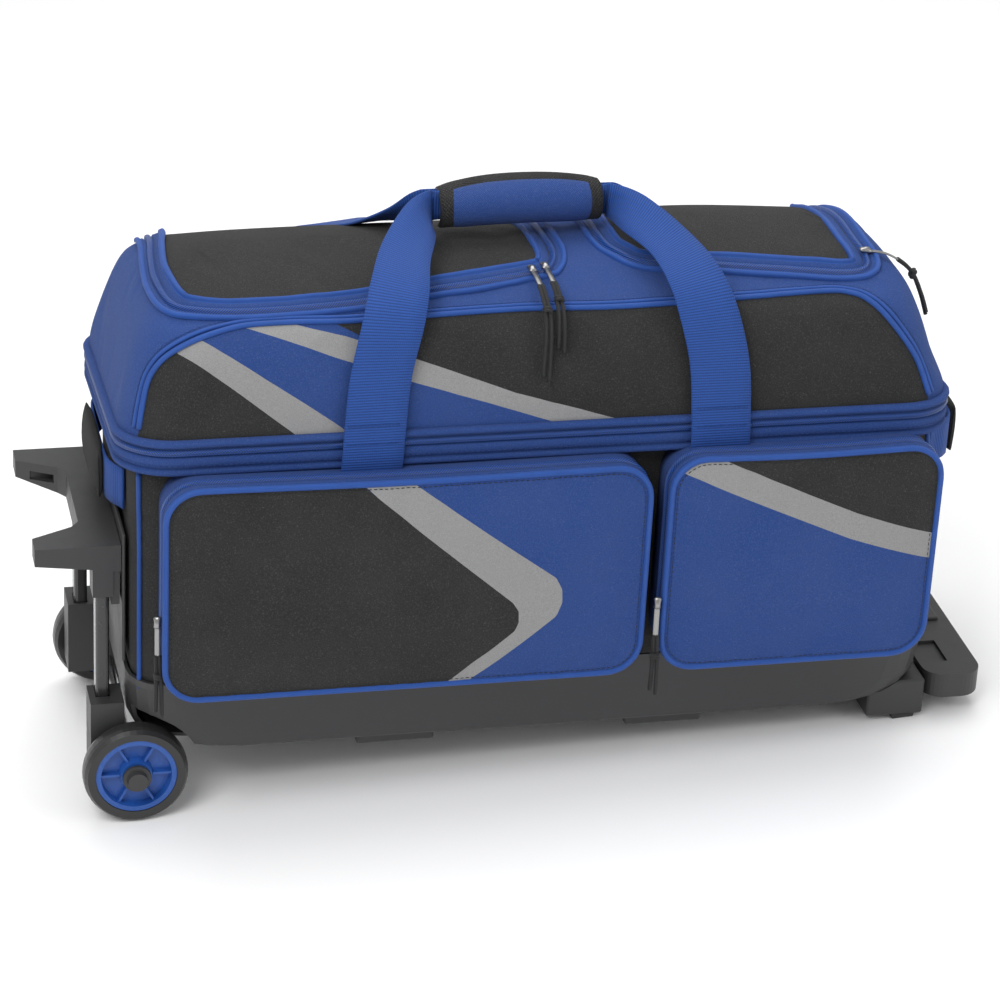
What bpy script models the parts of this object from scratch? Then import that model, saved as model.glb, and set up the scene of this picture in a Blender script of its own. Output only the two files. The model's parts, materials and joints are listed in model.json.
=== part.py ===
"""Rolling bowling bag for three balls: a padded fabric body on a moulded tray with two wheels.

Everything is laid out in the bag's own frame: X runs from the wheels to the pull handle, -Y is the pocket
side and Z is up from the underside of the tray. That frame is an empty, tilted and lifted so that the wheels
and the rest feet stand on the ground. Metres throughout.
"""

import math

import bmesh
import bpy
from mathutils import Vector

# ---------------------------------------------------------------- driving dimensions
GAP = 0.0003  # between pieces that touch

BALL_DIAMETER = 0.2185
BALL_PITCH = 0.2325

BODY_LENGTH = 0.715
BODY_DEPTH = 0.263
BODY_CORNER = 0.036
TRAY_TOP = 0.0690
TRAY_WALL = 0.0032
BELT_LOW = 0.2760
BELT_SPLIT = 0.2900
BELT_HIGH = 0.3040
BELT_HALF_LENGTH = 0.3600
BELT_HALF_DEPTH = 0.1460
BACK_DROP = 0.0260  # how much lower the belt and the lid sit at the back than at the front
UPPER_MIDDLE = -0.0075  # the belt and the lid sit a little towards the wheels
BELT_CORNER = 0.046
FABRIC = 0.0035
LID_CREST = 0.4265
LID_HINGE_Y = 0.1515
LID_HINGE_Z = BELT_SPLIT - BACK_DROP
FLAP_BACK = 0.0860

WHEEL_RADIUS = 0.0454
WHEEL_WIDTH = 0.0235
RIM_RADIUS = 0.0349
RIM_BORE = 0.0075
RIM_WIDTH = 0.0190
RIM_WEB = 0.0040
RIM_RIBS = 6
RIM_RIB_THICKNESS = 0.0022
WHEEL_INNER_Y = 0.1100
AXLE_X = -0.3526
AXLE_Z = -0.0189
AXLE_RADIUS = 0.0040
FOOT_X = 0.3440
FOOT_BOTTOM = -0.0250

TUBE_Y = 0.0750
TUBE_Z = 0.0107
TUBE_LENGTH = 0.6350
SLEEVE_SIZE = (0.0194, 0.0134)
TUBE_WALL = 0.0011
TUBE_STEP = 0.0028  # outer size lost from one tube to the next
GRIP_END = 0.4160
GRIP_TOP = 0.0190
GRIP_BOTTOM = -0.0040
GRIP_HALF_WIDTH = 0.1200

STAND_Y = 0.0850
STAND_X = -0.3770
STAND_TUBE = (0.0120, 0.0180)
YOKE_TOP = 0.1870
YOKE_BOTTOM = 0.1620
SPIKE_TIP = -0.4340

POCKET_FRONT = -0.1765
POCKET_LOW = 0.0780
POCKET_SEAM_HIGH = 0.2715
LEFT_POCKET = (-0.3350, 0.0750, 0.2770)
RIGHT_POCKET = (0.0955, 0.3360, 0.2810)
POCKET_CORNER = 0.030

STRAP_CENTRE = -0.0110
STRAP_FOOT = 0.1490
STRAP_WIDTH = 0.0520
STRAP_THICK = 0.0025
STRAP_Y = 0.1490
STRAP_FOOT_Z = 0.2870
GRAB_Y = 0.0750
GRAB_Z = 0.2310
GRAB_WIDTH = 0.0380

# ---------------------------------------------------------------- colours
ROYAL = (0.022, 0.095, 0.420)
CHARCOAL = (0.035, 0.035, 0.034)
PLASTIC = (0.060, 0.060, 0.062)
RUBBER = (0.045, 0.045, 0.046)
STEEL = (0.560, 0.560, 0.570)
LINING = (0.050, 0.050, 0.052)
FOAM = (0.120, 0.120, 0.125)


# ---------------------------------------------------------------- scene set-up
def clear_scene():
    for old in list(bpy.data.objects):
        bpy.data.objects.remove(old, do_unlink=True)


def collection(name):
    group = bpy.data.collections.new(name)
    bpy.context.scene.collection.children.link(group)
    return group


def stand_tilt():
    """The angle at which the wheels and the rest feet touch level ground together."""
    run = FOOT_X - AXLE_X
    rise = AXLE_Z - FOOT_BOTTOM
    return math.asin(WHEEL_RADIUS / math.hypot(run, rise)) - math.atan2(rise, run)


def paint(piece, colour, roughness, metallic=0.0):
    skin = bpy.data.materials.new(piece.name + "_material")
    skin.use_nodes = True
    shader = skin.node_tree.nodes["Principled BSDF"]
    shader.inputs["Base Color"].default_value = (*colour, 1.0)
    shader.inputs["Roughness"].default_value = roughness
    shader.inputs["Metallic"].default_value = metallic
    piece.data.materials.clear()
    piece.data.materials.append(skin)
    return piece


def add(name, data, place=(0, 0, 0), turn=(0, 0, 0)):
    piece = bpy.data.objects.new(name, data)
    PARTS.objects.link(piece)
    piece.parent = FRAME
    piece.location = place
    piece.rotation_euler = turn
    return piece


def hide_as_cutter(piece):
    PARTS.objects.unlink(piece)
    CUTTERS.objects.link(piece)
    piece.hide_render = True
    piece.display_type = "WIRE"


def pivot(piece, point):
    """Moves the origin of an unrotated piece to a point of the bag's frame, leaving its shape in place."""
    shift = Vector(point) - piece.location
    if piece.type == "MESH":
        for vertex in piece.data.vertices:
            vertex.co -= shift
    else:
        for spline in piece.data.splines:
            for knot in spline.points:
                knot.co = (*(knot.co.xyz - shift), 1.0)
    piece.location = point


# ---------------------------------------------------------------- shapes
def rounded_rectangle(left, right, low, high, radius, steps=5):
    """Corner points of a rounded rectangle, anticlockwise from the lower right."""
    loop = []
    corners = [(right, low, -1), (right, high, 0), (left, high, 1), (left, low, 2)]
    for x, y, quarter in corners:
        centre_x = x - radius if x == right else x + radius
        centre_y = y + radius if y == low else y - radius
        for k in range(steps + 1):
            angle = (quarter + k / steps) * math.pi / 2
            loop.append((centre_x + radius * math.cos(angle), centre_y + radius * math.sin(angle)))
    return loop


def centred_rectangle(half_x, half_y, radius, steps=5):
    return rounded_rectangle(-half_x, half_x, -half_y, half_y, radius, steps)


def skin_mesh(name, loops, cap=True, wrap=False):
    """A mesh through closed loops of equal length; its ends are capped, or joined to each other."""
    mesh = bpy.data.meshes.new(name)
    bm = bmesh.new()
    rows = [[bm.verts.new(point) for point in loop] for loop in loops]
    pairs = list(zip(rows, rows[1:]))
    if wrap:
        pairs.append((rows[-1], rows[0]))
    count = len(rows[0])
    for lower, upper in pairs:
        for k in range(count):
            nxt = (k + 1) % count
            bm.faces.new((lower[k], lower[nxt], upper[nxt], upper[k]))
    if cap:
        bm.faces.new(list(reversed(rows[0])))
        bm.faces.new(rows[-1])
    bmesh.ops.recalc_face_normals(bm, faces=bm.faces)
    bm.to_mesh(mesh)
    bm.free()
    return mesh


def ring_at(half_x, half_y, radius, z):
    """A level rounded rectangle."""
    return [(x, y, z) for x, y in centred_rectangle(half_x, half_y, radius)]


def drop(y):
    """How far the belt and the lid have sunk at this depth."""
    return BACK_DROP * (y + BELT_HALF_DEPTH) / (2 * BELT_HALF_DEPTH)


def sloping_ring(left, right, half_y, radius, z, crown=0.0):
    """A rounded rectangle that sinks towards the back; crown lifts its middle in a parabola."""
    points = rounded_rectangle(left, right, -half_y, half_y, radius)
    return [(x, y, z - drop(y) + crown * (1 - (y / half_y) ** 2)) for x, y in points]


def upper_ring(half_x, half_y, radius, z):
    return sloping_ring(UPPER_MIDDLE - half_x, UPPER_MIDDLE + half_x, half_y, radius, z)


def open_skin(name, rings):
    """A surface through the rings, closed at its last ring only."""
    mesh = bpy.data.meshes.new(name)
    bm = bmesh.new()
    rows = [[bm.verts.new(point) for point in ring] for ring in rings]
    count = len(rows[0])
    for lower, upper in zip(rows, rows[1:]):
        for k in range(count):
            nxt = (k + 1) % count
            bm.faces.new((lower[k], lower[nxt], upper[nxt], upper[k]))
    bm.faces.new(rows[-1])
    bm.to_mesh(mesh)
    bm.free()
    return mesh


def box(name, low, high, bevel=0.0, segments=2):
    centre = [(a + b) / 2 for a, b in zip(low, high)]
    size = [b - a for a, b in zip(low, high)]
    mesh = bpy.data.meshes.new(name)
    bm = bmesh.new()
    bmesh.ops.create_cube(bm, size=1.0)
    for vertex in bm.verts:
        vertex.co = [c * s for c, s in zip(vertex.co, size)]
    bm.to_mesh(mesh)
    bm.free()
    piece = add(name, mesh, centre)
    if bevel:
        round_edges(piece, bevel, segments)
    return piece


def round_edges(piece, width, segments=2):
    bevel = piece.modifiers.new("rounding", "BEVEL")
    bevel.width = width
    bevel.segments = segments
    bevel.limit_method = "ANGLE"


def cylinder(name, radius, depth, place, turn=(0, 0, 0), sides=32):
    mesh = bpy.data.meshes.new(name)
    bm = bmesh.new()
    bmesh.ops.create_cone(
        bm, cap_ends=True, segments=sides, radius1=radius, radius2=radius, depth=depth
    )
    bm.to_mesh(mesh)
    bm.free()
    return add(name, mesh, place, turn)


def plate(name, loops, thickness, place=(0, 0, 0), turn=(0, 0, 0)):
    """A flat outline, with any holes as further loops, given its thickness along its own Z."""
    curve = bpy.data.curves.new(name, "CURVE")
    curve.dimensions = "2D"
    curve.fill_mode = "BOTH"
    curve.extrude = thickness / 2
    for loop in loops:
        spline = curve.splines.new("POLY")
        spline.points.add(len(loop) - 1)
        for knot, (x, y) in zip(spline.points, loop):
            knot.co = (x, y, 0.0, 1.0)
        spline.use_cyclic_u = True
    return add(name, curve, place, turn)


def wire(name, points, radius, place=(0, 0, 0)):
    """A round cord or rod through points."""
    curve = bpy.data.curves.new(name, "CURVE")
    curve.dimensions = "3D"
    curve.bevel_depth = radius
    curve.bevel_resolution = 2
    curve.use_fill_caps = True
    spline = curve.splines.new("POLY")
    spline.points.add(len(points) - 1)
    for knot, point in zip(spline.points, points):
        knot.co = (*point, 1.0)
    return add(name, curve, place)


def turned(name, profile, place, turn, closed, steps=32):
    """A profile of (radius, height) points, down its outer side, turned about its own Z."""
    mesh = bpy.data.meshes.new(name)
    bm = bmesh.new()
    verts = [bm.verts.new((radius, 0.0, height)) for radius, height in profile]
    pairs = list(zip(verts, verts[1:]))
    if closed:
        pairs.append((verts[-1], verts[0]))
    for a, b in pairs:
        bm.edges.new((a, b))
    bm.to_mesh(mesh)
    bm.free()
    piece = add(name, mesh, place, turn)
    screw = piece.modifiers.new("turning", "SCREW")
    screw.axis = "Z"
    screw.angle = 2 * math.pi
    screw.steps = steps
    screw.render_steps = steps
    screw.use_merge_vertices = True
    screw.merge_threshold = 0.00001
    return piece


def as_mesh(piece):
    """The same piece as a welded mesh, ready for Booleans."""
    bpy.context.view_layer.update()
    evaluated = piece.evaluated_get(bpy.context.evaluated_depsgraph_get())
    mesh = bpy.data.meshes.new_from_object(evaluated)
    bm = bmesh.new()
    bm.from_mesh(mesh)
    bmesh.ops.remove_doubles(bm, verts=bm.verts, dist=0.00001)
    bm.to_mesh(mesh)
    bm.free()
    name, place, turn = piece.name, piece.location.copy(), piece.rotation_euler.copy()
    old = piece.data
    bpy.data.objects.remove(piece, do_unlink=True)
    old.name = name + "_curve"
    mesh.name = name
    return add(name, mesh, place, turn)


def combine(piece, other, operation):
    boolean = piece.modifiers.new(operation.lower(), "BOOLEAN")
    boolean.operation = operation
    boolean.solver = "EXACT"
    boolean.object = other
    if other.name in PARTS.objects:
        hide_as_cutter(other)


def cut(piece, *cutters):
    for cutter in cutters:
        combine(piece, cutter, "DIFFERENCE")


def join(piece, *others):
    for other in others:
        combine(piece, other, "UNION")


def shell(piece, thickness=FABRIC):
    solidify = piece.modifiers.new("wall", "SOLIDIFY")
    solidify.thickness = thickness
    solidify.offset = -1.0
    solidify.use_even_offset = True


# ---------------------------------------------------------------- tray and what stands in it
ALONG_X = (math.pi / 2, 0, math.pi / 2)
ALONG_Y = (math.pi / 2, 0, 0)


def tray_rings(grow=0.0, top=TRAY_TOP):
    half = BODY_LENGTH / 2 + 0.001
    depth = BODY_DEPTH / 2 + 0.001
    rings = [
        (half - 0.0580, depth - 0.0085, 0.040, -grow),
        (half - 0.0335, depth - 0.0070, 0.050, 0.0020 - grow),
        (half - 0.0165, depth - 0.0062, 0.050, 0.0060 - grow),
        (half - 0.0060, depth - 0.0055, 0.046, 0.0150 - grow),
        (half - 0.0025, depth - 0.0045, 0.042, 0.0240),
        (half, depth, BODY_CORNER, top - 0.0060),
        (half, depth, BODY_CORNER, top),
    ]
    return [ring_at(x + grow, y + grow, r, z) for x, y, r, z in rings]


def make_tray():
    rings = list(reversed(tray_rings()))
    mesh = open_skin("base_tray", rings)
    mesh.flip_normals()
    tray = add("base_tray", mesh)
    shell(tray, TRAY_WALL)
    for side in (-1, 1):
        arch = cylinder(
            f"arch_cutter_{side}",
            0.0560,
            0.080,
            (AXLE_X, side * (0.1030 + 0.040), AXLE_Z),
            ALONG_Y,
            40,
        )
        width, height = SLEEVE_SIZE
        slot = box(
            f"sleeve_cutter_{side}",
            (0.30, side * TUBE_Y - width / 2 - GAP, TUBE_Z - height / 2 - GAP),
            (0.40, side * TUBE_Y + width / 2 + GAP, TUBE_Z + height / 2 + GAP),
        )
        cut(tray, arch, slot)
    paint(tray, PLASTIC, 0.5)


FLOOR_LOW = 0.0380
FLOOR_THICK = 0.0040
DIVIDER_THICK = 0.0115
DIVIDER_HIGH = 0.2050


def make_ball_compartment():
    floor_rings = [ring_at(0.3500, 0.1230, 0.034, z) for z in (FLOOR_LOW, FLOOR_LOW + FLOOR_THICK)]
    floor = add("base_floor", skin_mesh("base_floor", floor_rings))
    paint(floor, LINING, 0.8)
    seat = FLOOR_LOW + FLOOR_THICK + GAP
    for index, name in enumerate(("left_ball_cup", "middle_ball_cup", "right_ball_cup")):
        x = (index - 1) * BALL_PITCH
        cup = cylinder(name, 0.0900, 0.0200, (x, 0, seat + 0.0100), sides=40)
        hollow = bpy.data.meshes.new(name + "_ball")
        bm = bmesh.new()
        bmesh.ops.create_uvsphere(bm, u_segments=40, v_segments=24, radius=BALL_DIAMETER / 2)
        bm.to_mesh(hollow)
        bm.free()
        ball = add(name + "_cutter", hollow, (x, 0, seat + 0.0040 + BALL_DIAMETER / 2))
        cut(cup, ball)
        paint(cup, FOAM, 0.9)
    for name, x in (("left_ball_divider", -BALL_PITCH / 2), ("right_ball_divider", BALL_PITCH / 2)):
        half = DIVIDER_THICK / 2
        divider = box(name, (x - half, -0.1220, seat), (x + half, 0.1220, DIVIDER_HIGH), 0.004)
        paint(divider, LINING, 0.85)


def make_underside():
    for name, low, high in (("left_skid_bar", -0.158, -0.089), ("right_skid_bar", 0.084, 0.154)):
        bar = box(name, (low, -0.1130, -0.0135), (high, 0.1130, -GAP), 0.002)
        paint(bar, PLASTIC, 0.5)
    block = box("handle_end_block", (0.3080, -0.1180, -0.0200), (0.3610, 0.1180, 0.0150), 0.0015, 1)
    hull = add("tray_cutter", skin_mesh("tray_cutter", tray_rings(GAP, 0.10)))
    cut(block, hull)
    for side in (-1, 1):
        width, height = SLEEVE_SIZE
        slot = box(
            f"block_slot_{side}",
            (0.30, side * TUBE_Y - width / 2 - 0.001, TUBE_Z - height / 2 - 0.001),
            (0.40, side * TUBE_Y + width / 2 + 0.001, TUBE_Z + 0.030),
        )
        cut(block, slot)
    paint(block, PLASTIC, 0.5)
    for name, side in (("front_rest_foot", -1), ("rear_rest_foot", 1)):
        foot = box(name, (-0.0105, -0.0180, 0.0), (0.0105, 0.0180, 0.0080), 0.001, 1)
        pivot(foot, (0, 0, 0))
        foot.location = (FOOT_X, side * 0.0980, FOOT_BOTTOM)
        foot.rotation_euler = (0, -stand_tilt(), 0)
        hull = box(
            f"foot_trim_{side}",
            (FOOT_X - 0.02, side * 0.0980 - 0.03, -0.0200 - GAP),
            (FOOT_X + 0.02, side * 0.0980 + 0.03, 0.0),
        )
        cut(foot, hull)
        paint(foot, RUBBER, 0.8)


# ---------------------------------------------------------------- telescopic pull handle
def rectangular_tube(name, size, length, place, turn=ALONG_X):
    width, height = size
    outer = centred_rectangle(width / 2, height / 2, 0.0030, 3)
    inner = centred_rectangle(width / 2 - TUBE_WALL, height / 2 - TUBE_WALL, 0.0019, 3)
    return plate(name, [outer, inner], length, place, turn)


def make_pull_handle():
    stages = ("sleeve", "middle_tube", "inner_tube")
    ends = (0.3500, 0.3570, 0.3900)
    for side_name, side in (("front", -1), ("rear", 1)):
        for index, stage in enumerate(stages):
            loss = index * TUBE_STEP
            size = (SLEEVE_SIZE[0] - loss, SLEEVE_SIZE[1] - loss)
            length = TUBE_LENGTH + 0.010 * index
            centre = (ends[index] - length / 2, side * TUBE_Y, TUBE_Z)
            tube = rectangular_tube(f"{side_name}_{stage}", size, length, centre)
            paint(tube, STEEL if index else PLASTIC, 0.35, 0.9 if index else 0.0)
    make_grip()


def make_grip():
    outline = rounded_rectangle(0.3620, GRIP_END, -GRIP_HALF_WIDTH, GRIP_HALF_WIDTH, 0.0200, 8)
    height = GRIP_TOP - GRIP_BOTTOM
    middle = (GRIP_TOP + GRIP_BOTTOM) / 2
    grip = as_mesh(plate("pull_grip", [outline], height, (0, 0, middle)))
    round_edges(grip, 0.0085, 4)
    for side in (-1, 1):
        width = SLEEVE_SIZE[0] - 2 * TUBE_STEP
        tall = SLEEVE_SIZE[1] - 2 * TUBE_STEP
        bore = box(
            f"grip_bore_{side}",
            (0.34, side * TUBE_Y - width / 2 - GAP, TUBE_Z - tall / 2 - GAP),
            (0.3900 + GAP, side * TUBE_Y + width / 2 + GAP, TUBE_Z + tall / 2 + GAP),
        )
        recess = box(
            f"grip_recess_{side}",
            (0.3660, side * TUBE_Y - 0.0190, 0.0160),
            (0.3895, side * TUBE_Y + 0.0190, 0.0300),
        )
        cut(grip, bore, recess)
    scoop = box("grip_scoop", (0.3560, -0.0450, -0.0100), (0.3980, 0.0450, 0.0060))
    button_well = box("button_well", (0.3720, -0.0200, 0.0120), (0.4060, 0.0200, 0.0300))
    cut(grip, scoop, button_well)
    paint(grip, PLASTIC, 0.5)
    button = box("grip_button", (0.3724, -0.0196, 0.0160), (0.4056, 0.0196, 0.0225), 0.0015)
    paint(button, PLASTIC, 0.4)


# ---------------------------------------------------------------- wheels
def make_wheels():
    sides = (("front", -1), ("rear", 1))
    for name, side in sides:
        middle = side * (WHEEL_INNER_Y + WHEEL_WIDTH / 2)
        half = WHEEL_WIDTH / 2
        tread = [
            (0.0352, half - 0.0015),
            (0.0420, half - 0.0005),
            (0.0446, half - 0.0045),
            (WHEEL_RADIUS, half - 0.0085),
            (WHEEL_RADIUS, -half + 0.0085),
            (0.0446, -half + 0.0045),
            (0.0420, -half + 0.0005),
            (0.0352, -half + 0.0015),
        ]
        tyre = turned(f"{name}_tyre", tread, (AXLE_X, middle, AXLE_Z), ALONG_Y, True, 48)
        paint(tyre, RUBBER, 0.45)
        rim = make_rim(f"{name}_rim", (AXLE_X, middle, AXLE_Z))
        paint(rim, ROYAL, 0.35)
        sleeve = [
            (0.0072, 0.0105),
            (0.0072, -0.0105),
            (AXLE_RADIUS + GAP, -0.0105),
            (AXLE_RADIUS + GAP, 0.0105),
        ]
        bush = turned(f"{name}_wheel_bush", sleeve, (AXLE_X, middle, AXLE_Z), ALONG_Y, True, 24)
        paint(bush, STEEL, 0.3, 1.0)
        cap = [(0.0, 0.0087), (0.0085, 0.0087), (0.0088, 0.0030), (0.0122, 0.0028), (0.0125, 0.0), (0.0, 0.0)]
        turn = (side * -math.pi / 2, 0, 0)
        nut = turned(f"{name}_hub_nut", cap, (AXLE_X, side * 0.1342, AXLE_Z), turn, False, 24)
        paint(nut, PLASTIC, 0.4)
    axle = cylinder("wheel_axle", AXLE_RADIUS, 0.2670, (AXLE_X, 0, AXLE_Z), ALONG_Y, 24)
    paint(axle, STEEL, 0.3, 1.0)


def make_rim(name, place):
    """A dished disc between the hub and the ring that carries the tyre, stiffened by thin ribs."""
    half = RIM_WIDTH / 2
    web = RIM_WEB / 2
    profile = [
        (RIM_RADIUS, half),
        (RIM_RADIUS, -half),
        (0.0305, -half),
        (0.0295, -web),
        (0.0150, -web),
        (0.0135, -half),
        (RIM_BORE, -half),
        (RIM_BORE, half),
        (0.0135, half),
        (0.0150, web),
        (0.0295, web),
        (0.0305, half),
    ]
    rim = turned(name, profile, place, ALONG_Y, True, 48)
    for k in range(RIM_RIBS):
        outline = rib_loop(2 * math.pi * k / RIM_RIBS)
        join(rim, as_mesh(plate(f"{name}_rib_{k}", [outline], 0.0140, place, ALONG_Y)))
    return rim


def rib_loop(angle):
    """The outline of one radial rib, seen along the axle."""
    along = (math.cos(angle), math.sin(angle))
    corners = ((0.0142, -1), (0.0303, -1), (0.0303, 1), (0.0142, 1))
    half = RIM_RIB_THICKNESS / 2
    return [(along[0] * r - along[1] * half * s, along[1] * r + along[0] * half * s) for r, s in corners]


# ---------------------------------------------------------------- stand at the wheel end
def make_stand():
    tube_x, tube_y = STAND_TUBE
    for name, side in (("front", -1), ("rear", 1)):
        centre = side * STAND_Y
        low_y, high_y = sorted((side * 0.0730, side * 0.1070))
        bracket = box(f"{name}_wheel_bracket", (-0.3890, low_y, -0.0290), (-0.3600, high_y, 0.0405))
        foot = box(f"{name}_bracket_arm", (-0.3700, low_y, -0.0290), (-0.3290, high_y, -GAP))
        join(bracket, foot)
        well = box(
            f"{name}_socket_well",
            (STAND_X - tube_x / 2 - GAP, centre - tube_y / 2 - GAP, 0.0060),
            (STAND_X + tube_x / 2 + GAP, centre + tube_y / 2 + GAP, 0.0600),
        )
        bore = cylinder(
            f"{name}_bracket_bore", AXLE_RADIUS + GAP, 0.08, (AXLE_X, centre, AXLE_Z), ALONG_Y, 24
        )
        cut(bracket, well, bore)
        paint(bracket, PLASTIC, 0.5)
        outer = centred_rectangle(tube_x / 2, tube_y / 2, 0.0035, 3)
        inner = centred_rectangle(tube_x / 2 - 0.0015, tube_y / 2 - 0.0015, 0.0020, 3)
        tube = plate(f"{name}_stand_tube", [outer, inner], 0.1480, (STAND_X, centre, 0.0804))
        paint(tube, PLASTIC, 0.3)
    make_yoke()
    backing = box("stand_back_plate", (-0.3608, -0.0980, 0.0760), (-0.3580, 0.0980, 0.1980), 0.001)
    paint(backing, PLASTIC, 0.6)


def make_yoke():
    """One moulding: a crossbar, two tapered feet pointing outwards and a sleeve over each stand tube."""
    half = [
        (-0.3615, 0.0960),
        (SPIKE_TIP, 0.0960),
        (SPIKE_TIP, 0.0750),
        (-0.3990, 0.0570),
        (-0.3925, 0.0480),
    ]
    outline = [(x, y) for x, y in half] + [(x, -y) for x, y in reversed(half)]
    height = YOKE_TOP - YOKE_BOTTOM
    yoke = as_mesh(plate("stand_yoke", [outline], height, (0, 0, YOKE_TOP - height / 2)))
    for vertex in yoke.data.vertices:
        if vertex.co.x < SPIKE_TIP + 0.001 and vertex.co.z < 0:
            vertex.co.z += 0.0090
    tube_x, tube_y = STAND_TUBE
    for side in (-1, 1):
        centre = side * STAND_Y
        low_y, high_y = sorted((side * 0.0720, side * 0.0955))
        sleeve = box(f"yoke_sleeve_{side}", (-0.3855, low_y, 0.1380), (-0.3680, high_y, 0.1700))
        tab = box(
            f"yoke_tab_{side}",
            (-0.3695, low_y + 0.0015, 0.1300),
            (-0.3625, high_y - 0.0015, 0.1750),
        )
        recess = box(
            f"yoke_recess_{side}",
            (-0.4220, min(side * 0.0500, side * 0.0705), 0.1710),
            (-0.4020, max(side * 0.0500, side * 0.0705), 0.1790),
        )
        well = box(
            f"yoke_well_{side}",
            (STAND_X - tube_x / 2 - GAP, centre - tube_y / 2 - GAP, 0.1200),
            (STAND_X + tube_x / 2 + GAP, centre + tube_y / 2 + GAP, 0.1550),
        )
        join(yoke, sleeve, tab)
        cut(yoke, well, recess)
    paint(yoke, PLASTIC, 0.45)


# ---------------------------------------------------------------- fabric body
def tube_of_rings(name, rings):
    mesh = skin_mesh(name, rings, cap=False)
    return add(name, mesh)


def make_lower_body():
    half = BODY_LENGTH / 2
    depth = BODY_DEPTH / 2
    rings = [
        ring_at(half, depth, BODY_CORNER, TRAY_TOP + GAP),
        ring_at(half - 0.0030, depth, BODY_CORNER, 0.180),
        upper_ring(half - 0.0095, depth - 0.0005, BODY_CORNER, BELT_LOW - 0.0020),
        upper_ring(half - 0.0105, depth - 0.0005, BODY_CORNER, BELT_SPLIT - GAP),
    ]
    lower = tube_of_rings("lower_shell", rings)
    shell(lower)
    paint(lower, CHARCOAL, 0.85)


def make_belt():
    """Two bands that meet at the main zip: one on the lower body, one on the lid."""
    lower_inside = (BODY_LENGTH / 2 - 0.0088, BODY_DEPTH / 2 + 0.0004, BODY_CORNER)
    upper_inside = (BELT_HALF_LENGTH - 0.0120, 0.1320, 0.034)
    belt_band("lower_belt", BELT_LOW, BELT_SPLIT - GAP, lower_inside)
    belt_band("upper_belt", BELT_SPLIT + GAP, BELT_HIGH, upper_inside)


def belt_band(name, low, high, inside):
    outside = (BELT_HALF_LENGTH, BELT_HALF_DEPTH, BELT_CORNER)
    loops = [
        upper_ring(*outside, low),
        upper_ring(*outside, high),
        upper_ring(*inside, high),
        upper_ring(*inside, low),
    ]
    band = add(name, skin_mesh(name, loops, cap=False, wrap=True))
    paint(band, ROYAL, 0.75)


# left end, right end, half depth, corner radius, height at the front, crown across the depth
LID_RINGS = (
    (-0.3655, 0.3505, 0.1445, 0.046, BELT_HIGH + 3 * GAP, 0.0),
    (-0.3655, 0.3505, 0.1445, 0.046, BELT_HIGH + 0.0060, 0.0),
    (-0.3610, 0.3400, 0.1415, 0.050, 0.3350, 0.0),
    (-0.3500, 0.3270, 0.1360, 0.055, 0.3700, 0.003),
    (-0.3400, 0.3160, 0.1290, 0.055, 0.3910, 0.009),
    (-0.3280, 0.3050, 0.1170, 0.050, 0.3985, 0.017),
    (-0.3130, 0.2900, 0.0960, 0.040, LID_CREST - 0.0205, 0.0205),
    (-0.2980, 0.2750, 0.0600, 0.030, LID_CREST - 0.0080, 0.0080),
    (-0.2880, 0.2650, 0.0220, 0.014, LID_CREST - 0.0011, 0.0011),
)


def lid_surface(name):
    piece = add(name, open_skin(name, [sloping_ring(*ring) for ring in LID_RINGS]))
    shell(piece)
    return piece


def left_flap_outline(inset):
    return flap_outline((-0.3080, -0.0020), (-0.0880, -0.0700), (0.036, 0.040), inset)


def right_flap_outline(inset):
    return flap_outline((0.0360, 0.2820), (-0.0640, -0.0780), (0.075, 0.028), inset)


def flap_outline(sides, fronts, radii, inset):
    """Rounded at its two front corners, left then right, and square at its hinge along the back."""
    left, right = sides[0] + inset, sides[1] - inset
    loop = [(right, FLAP_BACK - inset), (left, FLAP_BACK - inset)]
    corners = ((left, 2, fronts[0], radii[0], 1), (right, 3, fronts[1], radii[1], -1))
    for x, quarter, front, radius, inward in corners:
        for k in range(7):
            angle = (quarter + k / 6) * math.pi / 2
            centre_x = x + inward * radius
            centre_y = front + inset + radius
            loop.append((centre_x + radius * math.cos(angle), centre_y + radius * math.sin(angle)))
    return loop


def make_lid():
    lid = lid_surface("lid_shell")
    flaps = (("left_top_flap", left_flap_outline), ("right_top_flap", right_flap_outline))
    for name, outline in flaps:
        opening = as_mesh(plate(name + "_opening", [outline(0.0)], 0.20, (0, 0, 0.42)))
        cut(lid, opening)
        flap = lid_surface(name)
        keep = as_mesh(plate(name + "_limit", [outline(0.0005)], 0.20, (0, 0, 0.42)))
        combine(flap, keep, "INTERSECT")
        pivot(flap, (flap_centre(outline), FLAP_BACK, LID_CREST - 0.0165 - drop(FLAP_BACK)))
        paint(flap, CHARCOAL, 0.85)
    paint(lid, ROYAL, 0.8)
    low = BELT_HIGH + GAP
    rings = [upper_ring(0.3510, 0.1385, 0.040, z) for z in (low, low + 0.0030)]
    floor = add("lid_floor", skin_mesh("lid_floor", rings))
    paint(floor, LINING, 0.85)
    for piece in (lid, floor):
        pivot(piece, (0, LID_HINGE_Y, LID_HINGE_Z))


def flap_centre(outline):
    xs = [x for x, _ in outline(0.0)]
    return (min(xs) + max(xs)) / 2


def pocket_loop(span, low, high, inset, y):
    left, right = span
    points = rounded_rectangle(left + inset, right - inset, low + inset, high - inset, POCKET_CORNER - inset)
    return [(x, y, z) for x, z in points]


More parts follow.
